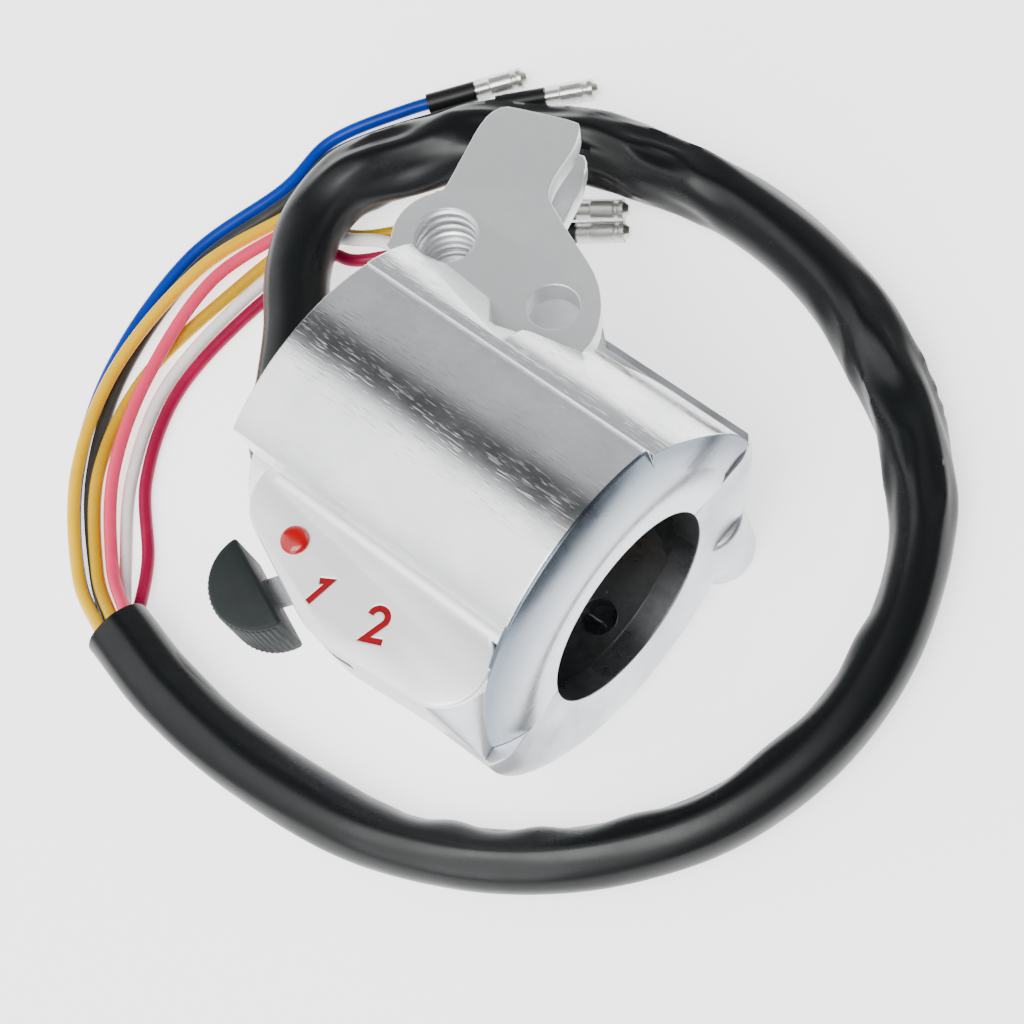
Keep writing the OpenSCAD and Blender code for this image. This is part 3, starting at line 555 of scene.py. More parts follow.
# Soft folds: long creases that wander round the sleeve, deep folds at its bends, and a slack inner side.
# A stretch is (start, stop, ease) along the sleeve
folds = {
    "corner": (38, 92, 8),
    "behindBracket": (104, 138, 8),
    "behindShare": 0.8,
    "slackSide": (126, 222, 16),
    "slack": 0.85,
    "slackAll": 0.1,
    "scallops": (140, 214, 10),
    "scallop": 0.34,
    "scallopPace": 0.5,
    "scallopDrift": 2.6,
    "drift": (0.03, 5, 1),
    "inset": 0.15,
    "long": 0.2,
    "sharp": 0.1,
    "bentSharp": 0.35,
    "bentCrease": 0.55,
    "bentInset": 0.15,
    "creaseWidth": 2.2,
    "leastRadius": 2.9,
}
waves = {
    "long": {"round": 1.6, "along": 0.045, "twist": 0, "shift": (0, 0)},
    "sharp": {"round": 1.5, "along": 0.11, "twist": 0, "shift": (7, 3)},
    "crease": {"round": 1.3, "along": 0.075, "twist": 0.05, "shift": (3, 0)},
}


def ripple(name, side, along):
    wave = waves[name]
    u = wave["round"] * side.x + wave["shift"][0]
    v = wave["round"] * side.y + wave["twist"] * along
    return noise.noise(Vector((u, v, wave["along"] * along + wave["shift"][1])))


def sleeveReach(along, angle):
    side = Vector((math.cos(angle), math.sin(angle), 0))
    inner = max(0, -side.x)
    long = ripple("long", side, along)
    sharp = ripple("sharp", side, along)
    crease = 1 - folds["creaseWidth"] * abs(ripple("crease", side, along))
    behind = folds["behindShare"] * stretch(along, *folds["behindBracket"])
    bent = max(stretch(along, *folds["corner"]), behind)
    pace, *row = folds["drift"]
    drift = noise.noise(Vector((along * pace, *row)))
    scallop = math.sin(along * folds["scallopPace"] + folds["scallopDrift"] * drift)
    reach = harness["sleeveRadius"] - folds["inset"] + folds["long"] * long + folds["sharp"] * sharp
    reach += bent * (folds["bentSharp"] * sharp + folds["bentCrease"] * crease - folds["bentInset"])
    reach -= stretch(along, *folds["slackSide"]) * (folds["slack"] * inner + folds["slackAll"])
    reach += folds["scallop"] * stretch(along, *folds["scallops"]) * inner * inner * scallop
    return max(folds["leastRadius"], reach)


def makeSleeve():
    route = smoothRoute(sleeveRoute, harness["stepsPerPoint"])
    rings = tubeRings(route, harness["sleeveSides"], sleeveReach)
    mouth = []
    for share, back in harness["mouth"]:
        centre = route[-1 - back]
        mouth.append([centre + (p - centre) * share for p in rings[-1 - back]])
    piece = loft("harnessSleeve", rings + mouth, sleeveSkin)
    smooth(piece, angle=50)
    settle(piece, "casing", "black_sleeve", "harness_sleeve")


def wirePoints(name):
    points = []
    for spot, heading, (side, height) in zip(bundlePoints, bundleWays, wireRoutes[name]["lanes"]):
        normal = Vector((-heading[1], heading[0])).normalized()
        place = Vector(spot) + normal * side
        points.append((place.x, place.y, harness["floor"] + height))
    return points + [(x, y, harness["floor"] + height) for x, y, height in wireRoutes[name]["tail"]]


def makeWire(name):
    route = smoothRoute(wirePoints(name), harness["stepsPerPoint"])
    rings = tubeRings(route, harness["wireSides"], lambda along, angle: harness["wireRadius"])
    piece = loft("wire" + name.capitalize(), rings, wireSkins[name])
    smooth(piece, angle=50)
    settle(piece, "casing", "wire_" + name, "wire_" + name)


makeSleeve()
for wireName in wireRoutes:
    makeWire(wireName)
print("stage: harness")


# Casing: the sizes that the upper and lower castings share
casing = {
    "end": 19,
    "rim": 19.6,
    "face": 19.3,
    "domeStart": 17,
    "domeRadius": 20.26,
    "domeWidth": 5.8,
    "domeDrop": 2.6,
    "rimSteps": 16,
    "faceDepth": 2,
    "boreRadius": 11.25,
    "barrelRadius": 20,
    "barrelEnd": 16.72,
    "barrelCore": (0.3, 0.5),
    "grooveRadius": 19.72,
    "grooveGap": 0.05,
    "stripRadius": 20.3,
    "stripFrom": 58.4,
    "stripStart": -18.9,
    "crownFrom": 8,
    "crownDrop": 0.018,
    "crownSteps": 12,
    "splitTop": 1.7,
    "split": 1.5,
    "wall": 2.4,
    "bayEnd": 13,
    "nearEnd": 16.4,
    "ribHalf": 2,
    "collar": [(-18.98, 14.9), (-18.6, 15.2), (-13, 15.2)],
    "overlap": 0.3,
    "margin": 1,
    "sides": 160,
}
# How far the cutting tools reach: round the casing, past those boxes, out of a hole, and along the bore
cutters = {"box": 60, "plan": 70, "hole": 40, "bore": 30}
nearAxis = 0.01  # the smallest radius of a turned profile
bore = casing["boreRadius"]


# An outboard end as (along the bar, radius): a dome that falls back to the bore
def rimProfile(radius, width, drop):
    edge = []
    for k in range(casing["rimSteps"] + 1):
        t = k / casing["rimSteps"]
        edge.append((casing["rim"] - drop * (1 - t) ** 2, radius - width * t))
    return edge + [(casing["face"], bore), (casing["face"] - casing["faceDepth"], nearAxis)]


def boreTool():
    return cylinder("boreTool", bore, -cutters["bore"], cutters["bore"], alongBar, casing["sides"], boreSkin)


# Upper casing
panel = {
    "top": 13.3,
    "centreY": -6.7,
    "circles": ((-10.2, -12.6, 5), (1, -13.1, 9), (12.2, -16.3, 4.9)),
    "foot": (17.6, -20.8, 0.3),
    "footTop": 3,
    "noseInset": 0.1,
    "noseSides": 48,
    "creaseY": -10.8,
    "fillet": 1.5,
    "coveStart": -13.7,
    "coveDepth": 1,
    "edge": 0.3,
}
bracket = {
    "tilt": -11.65,
    "top": 15.4,
    "bottom": 5.2,
    "slotLow": 7.4,
    "slotHigh": 12.8,
    "mirrorAt": (-16.8, 15.8),
    "mirrorLobe": 5.6,
    "lobeArc": (219, 142),
    "mirrorRadius": 3.35,
    "mirrorFloor": 6.2,
    "leverAt": (-2.4, 15.75),
    "leverRadius": 2.7,
    "leverFloor": 5.9,
    "roomRadius": 6.2,
    "adjusterAt": (29.6, 10.1),
    "adjusterRadius": 2.5,
    "adjusterEnd": -10,
    "clearY": 21.6,
    "underLift": 0.04,
    "edge": 0.4,
    "armEdge": 0.3,
    "flatTurn": 39.3,
    "flatYaw": -3.2,
    "flatFrom": -15,
    "flatLength": 12.6,
    "flatHalf": 12,
    "flatDepth": 8,
}
tilted = turned(bracket["tilt"], "X")
spotPlan = [(-8.1, 12.6), (-5.3, 9.6), (-4.6, 9.6), (-1.7, 11.6), (3, 13.4), (3, 20), (-8.1, 20)]
slotPlan = [
    (-10.8, 16), (-13.5, 24), (-15.5, 29), (-18, 37), (12, 40), (12, 19.5), (3.4, 14), (-2.4, 11.5),
]
armOutline = [
    (-21.4, 19.4), (-20.7, 20), (-21.9, 24.1), (-23.1, 28.1), (-23.4, 30.3), (-22.8, 32), (-20.5, 33),
    (-15.2, 35), (-14.5, 34.5), (-13.4, 32.4), (-12.7, 28.3), (-12, 26.5), (-11.2, 25.6), (-7.4, 23.8),
    (-2.2, 21.7), (0, 20.2), (1.5, 18.6), (2.8, 16.5), (3.4, 14.4), (3.4, 5), (-19, 5),
    (-19, 11), (-20.9, 11),
]
lowerArm = [
    (-21.9, 24.1), (-23.2, 29), (-23.2, 32.6), (-22.4, 34), (-16.4, 36.6), (-15.2, 35.8), (-13.4, 32.4),
    (-12, 27.6), (-11.2, 25.6),
]


def makePanel():
    outline = hullOutline(panel["circles"])
    piece = prism("panelBlock", outline, casing["split"], panel["top"], material=panelSkin)
    roundEdges(piece, panel["edge"], angle=50)
    return piece


# The slope from the panel's nose down to the outboard end
def makeNose():
    shape = bmesh.new()
    top = panel["top"] - casing["overlap"]
    bottom = casing["split"] - casing["overlap"]
    for (x, y, radius), high in ((panel["circles"][2], top), (panel["foot"], panel["footTop"])):
        for u, v in circle((x, y), radius - panel["noseInset"], panel["noseSides"]):
            shape.verts.new(Vector((u, v, bottom)) * mm)
            shape.verts.new(Vector((u, v, high)) * mm)
    hull = bmesh.ops.convex_hull(shape, input=shape.verts)
    inside = [item for item in hull["geom_interior"] if isinstance(item, bmesh.types.BMVert)]
    bmesh.ops.delete(shape, geom=inside, context="VERTS")
    bmesh.ops.recalc_face_normals(shape, faces=shape.faces)
    piece = meshObject("noseBlock", [], [], lowerSkin)
    shape.to_mesh(piece.data)
    shape.free()
    return piece


# The hollow round that joins the panel to the barrel
def makeCove():
    back = panel["creaseY"] + panel["coveDepth"]
    front = panel["creaseY"] - panel["fillet"]
    low = panel["top"] - panel["coveDepth"]
    high = panel["top"] + panel["fillet"]
    outline = [(back, low), (front, low)] + arc((front, high), panel["fillet"], 270, 360, 10) + [(back, high)]
    stop = casing["domeStart"] + casing["overlap"]
    return prism("panelCove", outline, panel["coveStart"], stop, alongBar, cast)


def makeBarrel():
    radius = casing["barrelRadius"]
    creaseAngle = math.degrees(math.acos(panel["creaseY"] / radius))
    outline = arc((0, 0), radius, casing["stripFrom"] - casing["margin"], creaseAngle, 64)
    outline += [(panel["creaseY"], casing["overlap"]), casing["barrelCore"]]
    return prism("barrelBlock", outline, -casing["end"], casing["barrelEnd"], alongBar, polished)


# The strip forward of the barrel: crowned at its outboard end, with a flat and a spot face beside the bracket
def makeStrip():
    radius = casing["stripRadius"]
    outline = [(0, 0)] + arc((0, 0), radius, 0, casing["stripFrom"], 64)
    piece = prism("stripBlock", outline, casing["stripStart"], casing["rim"], alongBar, polished)
    margin = casing["margin"]
    reach = radius + margin - casing["crownFrom"]
    crown = [(-casing["end"] - margin, -margin), (casing["face"], -margin)]
    for k in range(casing["crownSteps"] + 1):
        z = casing["crownFrom"] + reach * k / casing["crownSteps"]
        crown.append((casing["face"] - casing["crownDrop"] * (z - casing["crownFrom"]) ** 2, z))
    crown.append((-casing["end"] - margin, radius + margin))
    across = Matrix.Rotation(math.pi / 2, 4, "X")
    crownTool = prism("crownTool", crown, -cutters["box"], cutters["box"], across, domeSkin)
    combine(piece, [crownTool], "INTERSECT")
    place = turned(bracket["flatTurn"], "X")
    place = place @ moved(bracket["flatFrom"], radius, 0)
    place = place @ turned(bracket["flatYaw"])
    half = bracket["flatHalf"]
    flat = box("flatTool", (0, 0, -half), (bracket["flatLength"], bracket["flatDepth"], half), place, cast)
    spot = prism("spotTool", spotPlan, bracket["top"], cutters["hole"], tilted, cast)
    return combine(piece, [flat, spot], "DIFFERENCE")


def makeFlange():
    start = casing["barrelEnd"] - casing["overlap"]
    groove = casing["grooveRadius"]
    profile = [(start, nearAxis), (start, groove), (casing["domeStart"] - casing["grooveGap"], groove)]
    profile += rimProfile(casing["domeRadius"], casing["domeWidth"], casing["domeDrop"])
    return lathe("flangeBlock", profile, casing["sides"], domeSkin)


def makeBracket():
    lobe = arc(bracket["mirrorAt"], bracket["mirrorLobe"], *bracket["lobeArc"], 12)
    outline = softOutline(armOutline + lobe)
    plate = prism("bracketPlate", outline, bracket["bottom"], bracket["top"], tilted, cast)
    roundEdges(plate, bracket["edge"], angle=50)
    far = cutters["box"]
    top = casing["splitTop"] + bracket["underLift"]
    low = box("underTool", (-far, -far, -far), (far, bracket["clearY"], top))
    combine(plate, [low], "DIFFERENCE")
    arm = prism("lowerArm", softOutline(lowerArm), bracket["bottom"], bracket["slotLow"], tilted, cast)
    roundEdges(arm, bracket["armEdge"], angle=50)
    return combine(plate, [arm], "UNION")


def bracketTools():
    low = bracket["slotLow"]
    high = bracket["slotHigh"]
    tools = [prism("slotTool", slotPlan, low, high, tilted, cast)]
    out = cutters["hole"]
    for name, at, radius, start, stop in (
        ("roomTool", bracket["leverAt"], bracket["roomRadius"], low, high),
        ("mirrorTool", bracket["mirrorAt"], bracket["mirrorRadius"], bracket["mirrorFloor"], out),
        ("leverTool", bracket["leverAt"], bracket["leverRadius"], bracket["leverFloor"], out),
    ):
        place = tilted @ moved(*at, 0)
        tools.append(cylinder(name, radius, start, stop, place, material=cast))
    place = tilted @ moved(0, *bracket["adjusterAt"]) @ alongBar
    tools.append(cylinder("adjusterTool", bracket["adjusterRadius"], -cutters["box"], bracket["adjusterEnd"],
                          place, sides=48, material=cast))
    return tools


# The hollows inside: two bays over the bore, the switch's round room and the fan that the stem sweeps
chamber = {
    "radius": 9.3,
    "pivotY": -10,
    "floor": 1,
    "ceiling": 11.3,
    "back": -4,
    "front": 6,
    "stemLow": 7.2,
    "stemHigh": 9.2,
    "fan": (40, 219.5, 285.5),  # radius, and its two angles
}


def chamberTools():
    tools = []
    wallRadius = casing["barrelRadius"] - casing["wall"]
    side = [math.degrees(math.acos(chamber[key] / wallRadius)) for key in ("front", "back")]
    outline = arc((0, 0), wallRadius, side[0], side[1], 16) + [(chamber["back"], 0), (chamber["front"], 0)]
    for low, high in ((-casing["bayEnd"], -casing["ribHalf"]), (casing["ribHalf"], casing["nearEnd"])):
        tools.append(prism("bayTool", outline, low, high, alongBar, boreSkin))
    place = moved(0, chamber["pivotY"], 0)
    tools.append(cylinder("chamberTool", chamber["radius"], chamber["floor"], chamber["ceiling"], place,
                          material=boreSkin))
    fan = [(0, 0)] + arc((0, 0), *chamber["fan"], 8)
    tools.append(prism("stemTool", fan, chamber["stemLow"], chamber["stemHigh"], place, boreSkin))
    return tools


# Position marks: plain figures as strokes, turned to stand on the panel's circle
marks = {
    "circle": 11.9,
    "stroke": 0.66,
    "mitreLimit": 0.45,
    "depth": 0.3,
    "fill": 0.2,
    "dotTurn": -40.6,
    "dotRadius": 1.5,
    "dotProfile": (  # height over the panel, and share of the radius
        (-0.25, 1), (0.12, 1), (0.3, 0.96), (0.46, 0.8), (0.56, 0.55), (0.6, 0.25), (0.605, 0.05),
    ),
}
figures = {
    "one": {"turn": -11.4, "line": [(-0.75, 0.75), (0.1, 1.5), (0.1, -1.5)]},
    "two": {
        "turn": 23.3,
        "line": arc((0, 0.78), 0.9, 170, -25, 12) + [(-0.9, -1.6), (1.05, -1.6)],
    },
}


def onPanel(turn):
    place = moved(0, panel["centreY"], 0) @ turned(turn)
    return place @ moved(0, -marks["circle"], 0)


# The outline of a stroke of even width along a line
def strokeOutline(line, width):
    spots = [Vector(p) for p in line]
    left = []
    right = []
    for i, here in enumerate(spots):
        back = (here - spots[i - 1]).normalized() if i else (spots[1] - here).normalized()
        ahead = (spots[i + 1] - here).normalized() if i < len(spots) - 1 else back
        across = Vector((-(back + ahead).y, (back + ahead).x)).normalized()
        reach = width / 2 / max(marks["mitreLimit"], across.dot(Vector((-back.y, back.x))))
        left.append(tuple(here + across * reach))
        right.append(tuple(here - across * reach))
    return left + right[::-1]


def markPrism(name, figure, low, high, material):
    outline = strokeOutline(figures[figure]["line"], marks["stroke"])
    return prism(name, outline, low, high, onPanel(figures[figure]["turn"]), material)


def makeUpperCasing():
    body = makeBarrel()
    parts = [makeStrip(), makeFlange(), makePanel(), makeNose(), makeCove()]
    ends = [(casing["collar"][k][0], nearAxis) for k in (0, -1)]
    parts.append(lathe("collarBlock", ends[:1] + casing["collar"] + ends[1:], casing["sides"], cast))
    combine(body, parts, "UNION")
    far = cutters["box"]
    under = box("splitTool", (-far, -far, -far), (far, far, casing["splitTop"]))
    combine(body, [under], "DIFFERENCE")
    combine(body, [makeBracket()], "UNION")
    top = panel["top"]
    low = top - marks["depth"]
    high = top + casing["margin"]
    pockets = [markPrism("pocketTool", figure, low, high, paint) for figure in figures]
    combine(body, chamberTools() + [boreTool()] + bracketTools() + pockets, "DIFFERENCE")
    body.name = "upperCasing"
    smooth(body, angle=30)
    settle(body, "casing", "polished_casting", "upper_casing")


makeUpperCasing()
print("stage: upper casing")


# Lower casing
lower = {
    "radius": 21.2,
    "lift": 0.8,
    "chamfer": 0.6,
    "edgeWidth": 3,
    "edgeDrop": 1.2,
    "cornerY": -11.6,
    "bosses": ((16.1, 13.8), (-11, 14)),
    "bossRadius": 4.3,
    "bossLow": -19.8,
    "bossHigh": -9,
    "bossEdge": 0.5,
    "screws": ((16.1, 13.8, -16.8), (-11, 14, -16.8), (12.6, -15.4, -8)),
    "columnRadius": 5.1,
    "counterbore": 3.9,
    "drainX": 11,
    "drainRadius": 2,
    "port": (-7.8, -13.4),
    "portRadius": 3.2,
    "ribHeight": 2.7,
    "ribWeb": 16,
}


# What is left out so that the inboard corner follows the panel
def cornerTool(inset):
    far = cutters["box"]
    tool = box("cornerTool", (-far, -far, -far), (0, lower["cornerY"], far))
    plan = prism("planTool", hullOutline(panel["circles"], inset), -cutters["plan"], cutters["plan"])
    return combine(tool, [plan], "DIFFERENCE")


def makeLowerCasing():
    start = -casing["end"]
    chamfer = lower["chamfer"]
    profile = [(start, nearAxis), (start, lower["radius"] - chamfer), (start + chamfer, lower["radius"])]
    rim = rimProfile(lower["radius"], lower["edgeWidth"], lower["edgeDrop"])
    outer = lathe("lowerCasing", profile + rim, casing["sides"], lowerSkin, lower["lift"])
    combine(outer, [cornerTool(0)], "DIFFERENCE")
    bayRadius = lower["radius"] - casing["wall"]
    bays = cylinder("bayTool", bayRadius, -casing["bayEnd"], casing["nearEnd"],
                    moved(0, 0, lower["lift"]) @ alongBar, sides=96, material=boreSkin)
    combine(bays, [cornerTool(casing["wall"])], "DIFFERENCE")
    thick = casing["ribHalf"]
    half = lower["ribWeb"] / 2
    rib = cylinder("ribTool", bore + lower["ribHeight"], -thick, thick, alongBar, sides=96)
    web = box("webTool", (-thick, -half, -cutters["bore"]), (thick, half, 0))
    combine(bays, [rib, web], "DIFFERENCE")
    columns = []
    for x, y, _ in lower["screws"]:
        place = moved(x, y, 0)
        columns.append(cylinder("columnTool", lower["columnRadius"], -cutters["bore"], casing["split"], place,
                                material=boreSkin))
    combine(bays, columns, "DIFFERENCE")
    combine(outer, [bays], "DIFFERENCE")
    bosses = []
    for x, y in lower["bosses"]:
        boss = cylinder("bossBlock", lower["bossRadius"], lower["bossLow"], lower["bossHigh"],
                        moved(x, y, 0), material=lowerSkin)
        roundEdges(boss, lower["bossEdge"], angle=40)
        bosses.append(boss)
    combine(outer, bosses, "UNION")
    far = cutters["box"]
    out = -cutters["hole"]
    tools = [boreTool(), box("splitTool", (-far, -far, casing["split"]), (far, far, far))]
    for x, y, seat in lower["screws"]:
        place = moved(x, y, 0)
        tools.append(cylinder("seatTool", lower["counterbore"], out, seat, place, material=cast))
    place = moved(lower["drainX"], 0, 0)
    tools.append(cylinder("drainTool", lower["drainRadius"], out, 0, place, sides=48))
    place = moved(0, *lower["port"]) @ alongBar
    stop = casing["margin"] - casing["bayEnd"]
    tools.append(cylinder("portTool", lower["portRadius"], out, stop, place, sides=48, material=cast))
    combine(outer, tools, "DIFFERENCE")
    smooth(outer, angle=30)
    settle(outer, "casing", "cast_aluminium", "lower_casing")


makeLowerCasing()
print("stage: lower casing")


# Marks and the off dot on the panel
def makeMarks():
    low = panel["top"] - marks["depth"]
    pieces = [markPrism("figureFill", figure, low, low + marks["fill"], paint) for figure in figures]
    shapes = bmesh.new()
    for piece in pieces:
        shapes.from_mesh(piece.data)
        bpy.data.objects.remove(piece)
    joined = meshObject("positionMarks", [], [], paint)
    shapes.to_mesh(joined.data)
    shapes.free()
    settle(joined, "casing", "dark_red_paint", "position_marks")


def makeDot():
    radius = marks["dotRadius"]
    rings = []
    place = onPanel(marks["dotTurn"])
    for height, share in marks["dotProfile"]:
        ring = circle((0, 0), share * radius, 36)
        rings.append([place @ Vector((x, y, panel["top"] + height)) for x, y in ring])
    piece = loft("offDot", rings, enamel)
    smooth(piece, angle=60)
    settle(piece, "casing", "red_enamel", "position_dot")


makeMarks()
makeDot()
print("stage: marks")


# Geometry node helpers
def newTree(name, sockets):
    tree = bpy.data.node_groups.new(name, "GeometryNodeTree")
    for socketName, kind, value in sockets:
        socket = tree.interface.new_socket(socketName, in_out="INPUT", socket_type="NodeSocket" + kind)
        if value is not None:
            socket.default_value = value
    tree.interface.new_socket("Geometry", in_out="OUTPUT", socket_type="NodeSocketGeometry")
    return tree, addNode(tree, "NodeGroupInput"), addNode(tree, "NodeGroupOutput")


def joinAll(tree, links):
    for source, output, target, socket in links:
        tree.links.new(source.outputs[output], target.inputs[socket])


def growPiece(name, tree, values):
    piece = meshObject(name, [], [])
    modifier = piece.modifiers.new("grow", "NODES")
    modifier.node_group = tree
    for item in tree.interface.items_tree:
        if item.in_out == "INPUT" and item.name in values:
            modifier[item.identifier] = values[item.name]
    bakeModifiers(piece)
    return piece


# Knob: a half disc with a row of upright ridges round its curved side
knob = {
    "at": 13.77,
    "turn": 15,
    "rest": -37.5,
    "radius": 5.4,
    "low": 5,
    "high": 13,
    "edge": 0.5,
    "ridges": 27,
    "ridge": 0.28,
    "ridgeEdge": 0.15,
    "ridgeShorter": 0.9,
    "ridgeFrom": 191,
    "ridgeSweep": 158,
}


def makeRidgeTree():
    sockets = [("Count", "Int", 15), ("Arc Radius", "Float", 0.005), ("Ridge Radius", "Float", 0.0004),
               ("Height", "Float", 0.007), ("Material", "Material", None)]
    tree, entry, leave = newTree("knobRidges", sockets)
    span = {"Start Angle": math.radians(knob["ridgeFrom"]), "Sweep Angle": math.radians(knob["ridgeSweep"])}
    curve = addNode(tree, "GeometryNodeCurveArc", {"Resolution": 90, **span})
    points = addNode(tree, "GeometryNodeCurveToPoints")
    ridge = addNode(tree, "GeometryNodeMeshCylinder", {"Vertices": 16})
    spread = addNode(tree, "GeometryNodeInstanceOnPoints")
    real = addNode(tree, "GeometryNodeRealizeInstances")
    dress = addNode(tree, "GeometryNodeSetMaterial")
    joinAll(tree, (
        (entry, "Arc Radius", curve, "Radius"),
        (entry, "Count", points, "Count"),
        (entry, "Ridge Radius", ridge, "Radius"),
        (entry, "Height", ridge, "Depth"),
        (curve, "Curve", points, "Curve"),
        (points, "Points", spread, "Points"),
        (ridge, "Mesh", spread, "Instance"),
        (spread, "Instances", real, "Geometry"),
        (real, "Geometry", dress, "Geometry"),
        (entry, "Material", dress, "Material"),
        (dress, "Geometry", leave, "Geometry"),
    ))
    return tree


def makeKnob():
    place = moved(0, chamber["pivotY"], 0) @ turned(knob["rest"])
    place = place @ moved(0, -knob["at"], 0) @ turned(knob["turn"])
    outline = arc((0, 0), knob["radius"] - knob["ridge"] / 2, 180, 360, 40)
    body = prism("thumbKnob", outline, knob["low"], knob["high"], place, knobSkin)
    roundEdges(body, knob["edge"], angle=40)
    height = knob["high"] - knob["low"] - knob["ridgeShorter"]
    values = {"Count": knob["ridges"], "Arc Radius": (knob["radius"] - knob["ridge"]) * mm,
              "Ridge Radius": knob["ridge"] * mm, "Height": height * mm, "Material": knobSkin}
    ridges = growPiece("knobRidgeRow", makeRidgeTree(), values)
    middle = moved(0, 0, (knob["low"] + knob["high"]) / 2)
    placed = place @ middle
    placed.translation *= mm
    ridges.data.transform(placed)
    roundEdges(ridges, knob["ridgeEdge"], segments=2, angle=50)
    smooth(body, angle=35)
    smooth(ridges, angle=35)
    settle(body, "thumb_switch", "knob_plastic", "thumb_knob")
    settle(ridges, "thumb_switch", "knob_plastic")


makeKnob()
print("stage: knob")


# Mirror hole: a cut thread, as a fine ridge wound up the hole
thread = {"pitch": 1.2, "turns": 7, "depth": 0.3, "sunk": 0.3}


def makeThreadTree():
    sockets = [("Turns", "Float", 7.0), ("Radius", "Float", 0.0034), ("Height", "Float", 0.009),
               ("Ridge", "Float", 0.0004), ("Material", "Material", None)]
    tree, entry, leave = newTree("holeThread", sockets)
    spiral = addNode(tree, "GeometryNodeCurveSpiral", {"Resolution": 40})
    ridge = addNode(tree, "GeometryNodeCurvePrimitiveCircle", {"Resolution": 4})
    sweep = addNode(tree, "GeometryNodeCurveToMesh", {"Fill Caps": True})
    dress = addNode(tree, "GeometryNodeSetMaterial")
    joinAll(tree, (
        (entry, "Turns", spiral, "Rotations"),
        (entry, "Radius", spiral, "Start Radius"),
        (entry, "Radius", spiral, "End Radius"),
        (entry, "Height", spiral, "Height"),
        (entry, "Ridge", ridge, "Radius"),
        (spiral, "Curve", sweep, "Curve"),
        (ridge, "Curve", sweep, "Profile Curve"),
        (sweep, "Mesh", dress, "Geometry"),
        (entry, "Material", dress, "Material"),
        (dress, "Geometry", leave, "Geometry"),
    ))
    return tree


def makeThread():
    height = thread["pitch"] * thread["turns"]
    values = {"Turns": float(thread["turns"]), "Radius": bracket["mirrorRadius"] * mm, "Height": height * mm,
              "Ridge": thread["depth"] * mm, "Material": cast}
    piece = growPiece("mirrorThread", makeThreadTree(), values)
    low = bracket["top"] - height - thread["sunk"]
    place = tilted @ moved(*bracket["mirrorAt"], low)
    place.translation *= mm
    piece.data.transform(place)
    smooth(piece, angle=40)
    settle(piece, "casing", "polished_casting")


makeThread()
print("stage: thread")


# Materials of the CAD nodes that stay as they are
nodeSkins = {
    "casing_screws": steel, "screw_washers": steel, "board_screws": steel, "pivot_pin": steel,
    "lever_stem": steel, "stem_pin": steel, "detent_ball": steel, "detent_spring": steel,
    "fixed_contacts": brass, "solder_tabs": brass, "moving_contact": brass, "contact_board": board,
    "rotor_plate": moulding, "cable_grommet": rubber, "inner_leads": leadSkin,
}
for wireName in wireRoutes:
    nodeSkins["boot_" + wireName] = bootSkin
    nodeSkins["bullet_" + wireName] = tinned
    nodeSkins["cover_" + wireName] = clear
for nodeName, skin in nodeSkins.items():
    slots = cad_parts[nodeName].data.materials
    slots.clear()
    slots.append(skin)
print("stage: node materials")


# Floor, light and surroundings. The surroundings are a soft studio: bands of tone round the bar axis, set so
# that the polished barrel shows light and dark where the photograph does, and a darker outboard side
stage = {
    "floorSize": 3,
    "floorColour": (0.95, 0.95, 0.95, 1),
    "floorGlow": 1.6,
    "worldStrength": 2.5,
    "coolness": 0.35,
    "coolBelow": 0.3,
    "sideFrom": 0.35,
    "sideFull": 0.72,
    "sideTone": 0.12,
}
skyBands = [  # angle from overhead in degrees, and tone
    (-180, 0.4), (-70, 0.4), (-45, 1), (-3, 1), (6, 0.13), (11, 0.022), (26, 0.028), (36, 0.22), (60, 0.26),
    (90, 0.2), (180, 0.4),
]


def makeFloor():
    half = stage["floorSize"] / mm / 2
    low = harness["floor"]
    corners = [(-half, -half, low), (half, -half, low), (half, half, low), (-half, half, low)]
    values = {"Base Color": stage["floorColour"], "Roughness": 0.9, "Specular IOR Level": 0.1,
              "Emission Color": (1, 1, 1, 1), "Emission Strength": stage["floorGlow"]}
    material = newMaterial("paleFloor", values)[0]
    floor = meshObject("paleFloor", corners, [[0, 1, 2, 3]], material)


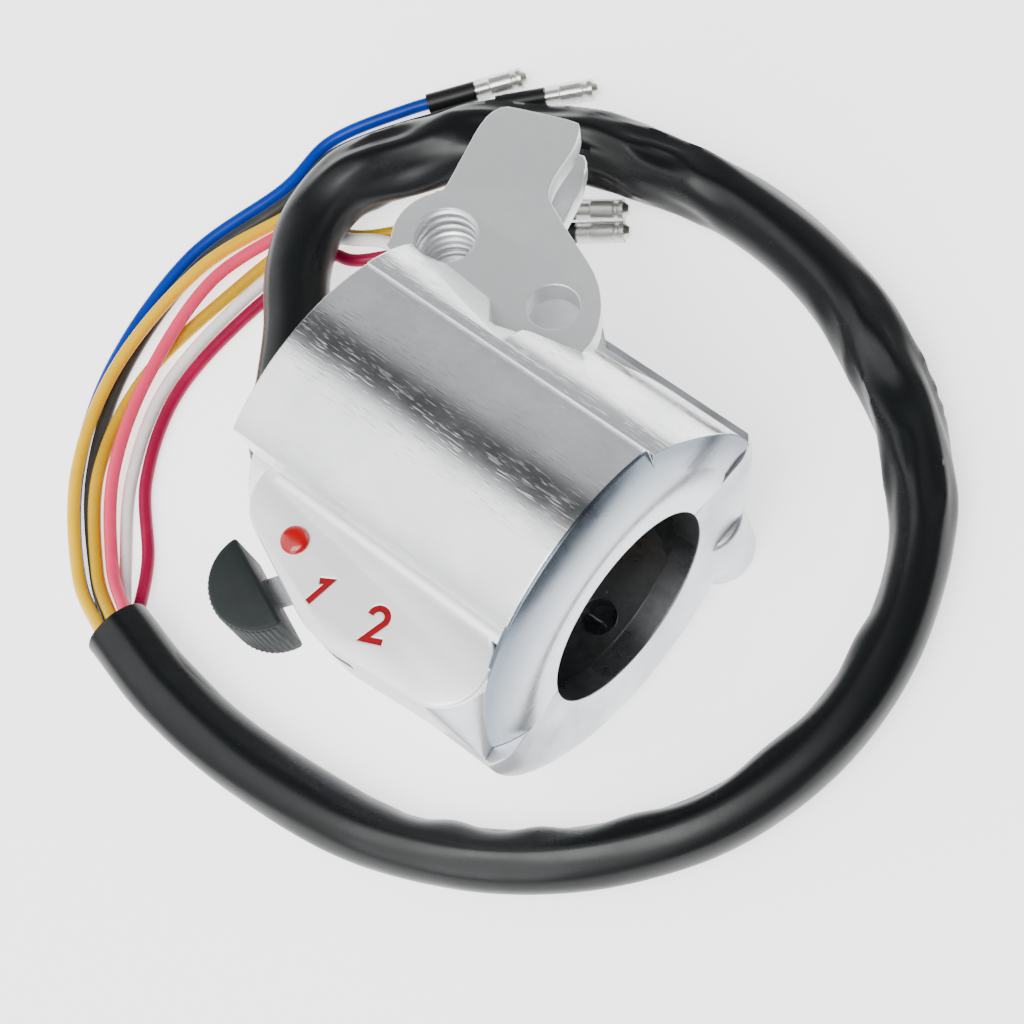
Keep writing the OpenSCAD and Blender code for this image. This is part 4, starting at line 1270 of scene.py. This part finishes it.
lights = [
    {"name": "overhead", "place": (0.1, -0.35, 0.85), "size": 0.5, "power": 7},
    {"name": "frontFill", "place": (0.2, -0.8, 0.4), "size": 0.5, "power": 3},
]


def makeLights():
    for light in lights:
        data = bpy.data.lights.new(light["name"], "AREA")
        data.size = light["size"]
        data.energy = light["power"]
        lamp = bpy.data.objects.new(light["name"], data)
        bpy.context.scene.collection.objects.link(lamp)
        lamp.location = light["place"]
        lamp.rotation_euler = (-Vector(light["place"])).to_track_quat("-Z", "Y").to_euler()


def makeSurroundings():
    world = bpy.data.worlds.new("studio")
    world.use_nodes = True
    tree = world.node_tree
    background = tree.nodes["Background"]
    background.inputs["Strength"].default_value = stage["worldStrength"]
    place = addNode(tree, "ShaderNodeTexCoord")
    axes = addNode(tree, "ShaderNodeSeparateXYZ")
    turn = addNode(tree, "ShaderNodeMath", operation="ARCTAN2")
    tree.links.new(place.outputs["Generated"], axes.inputs["Vector"])
    tree.links.new(axes.outputs["Y"], turn.inputs[0])
    tree.links.new(axes.outputs["Z"], turn.inputs[1])
    ramp = addNode(tree, "ShaderNodeValToRGB")
    tree.links.new(mapRange(tree, turn.outputs[0], 0, 1, -math.pi, math.pi), ramp.inputs["Fac"])
    stops = ramp.color_ramp.elements
    while len(stops) < len(skyBands):
        stops.new(0.5)
    for stop, (angle, tone) in zip(stops, skyBands):
        stop.position = (angle + 180) / 360
        cool = tone + stage["coolness"] * tone * max(0, stage["coolBelow"] - tone)
        stop.color = (tone, 0.5 * (tone + cool), cool, 1)
    side = mapRange(tree, axes.outputs["X"], 1, stage["sideTone"], stage["sideFrom"], stage["sideFull"])
    dim = addNode(tree, "ShaderNodeMix", data_type="RGBA", blend_type="MULTIPLY")
    dim.inputs["Factor"].default_value = 1
    tree.links.new(ramp.outputs["Color"], dim.inputs["A"])
    tree.links.new(side, dim.inputs["B"])
    tree.links.new(dim.outputs["Result"], background.inputs["Color"])
    bpy.context.scene.world = world


makeFloor()
makeLights()
makeSurroundings()
print("stage: studio")
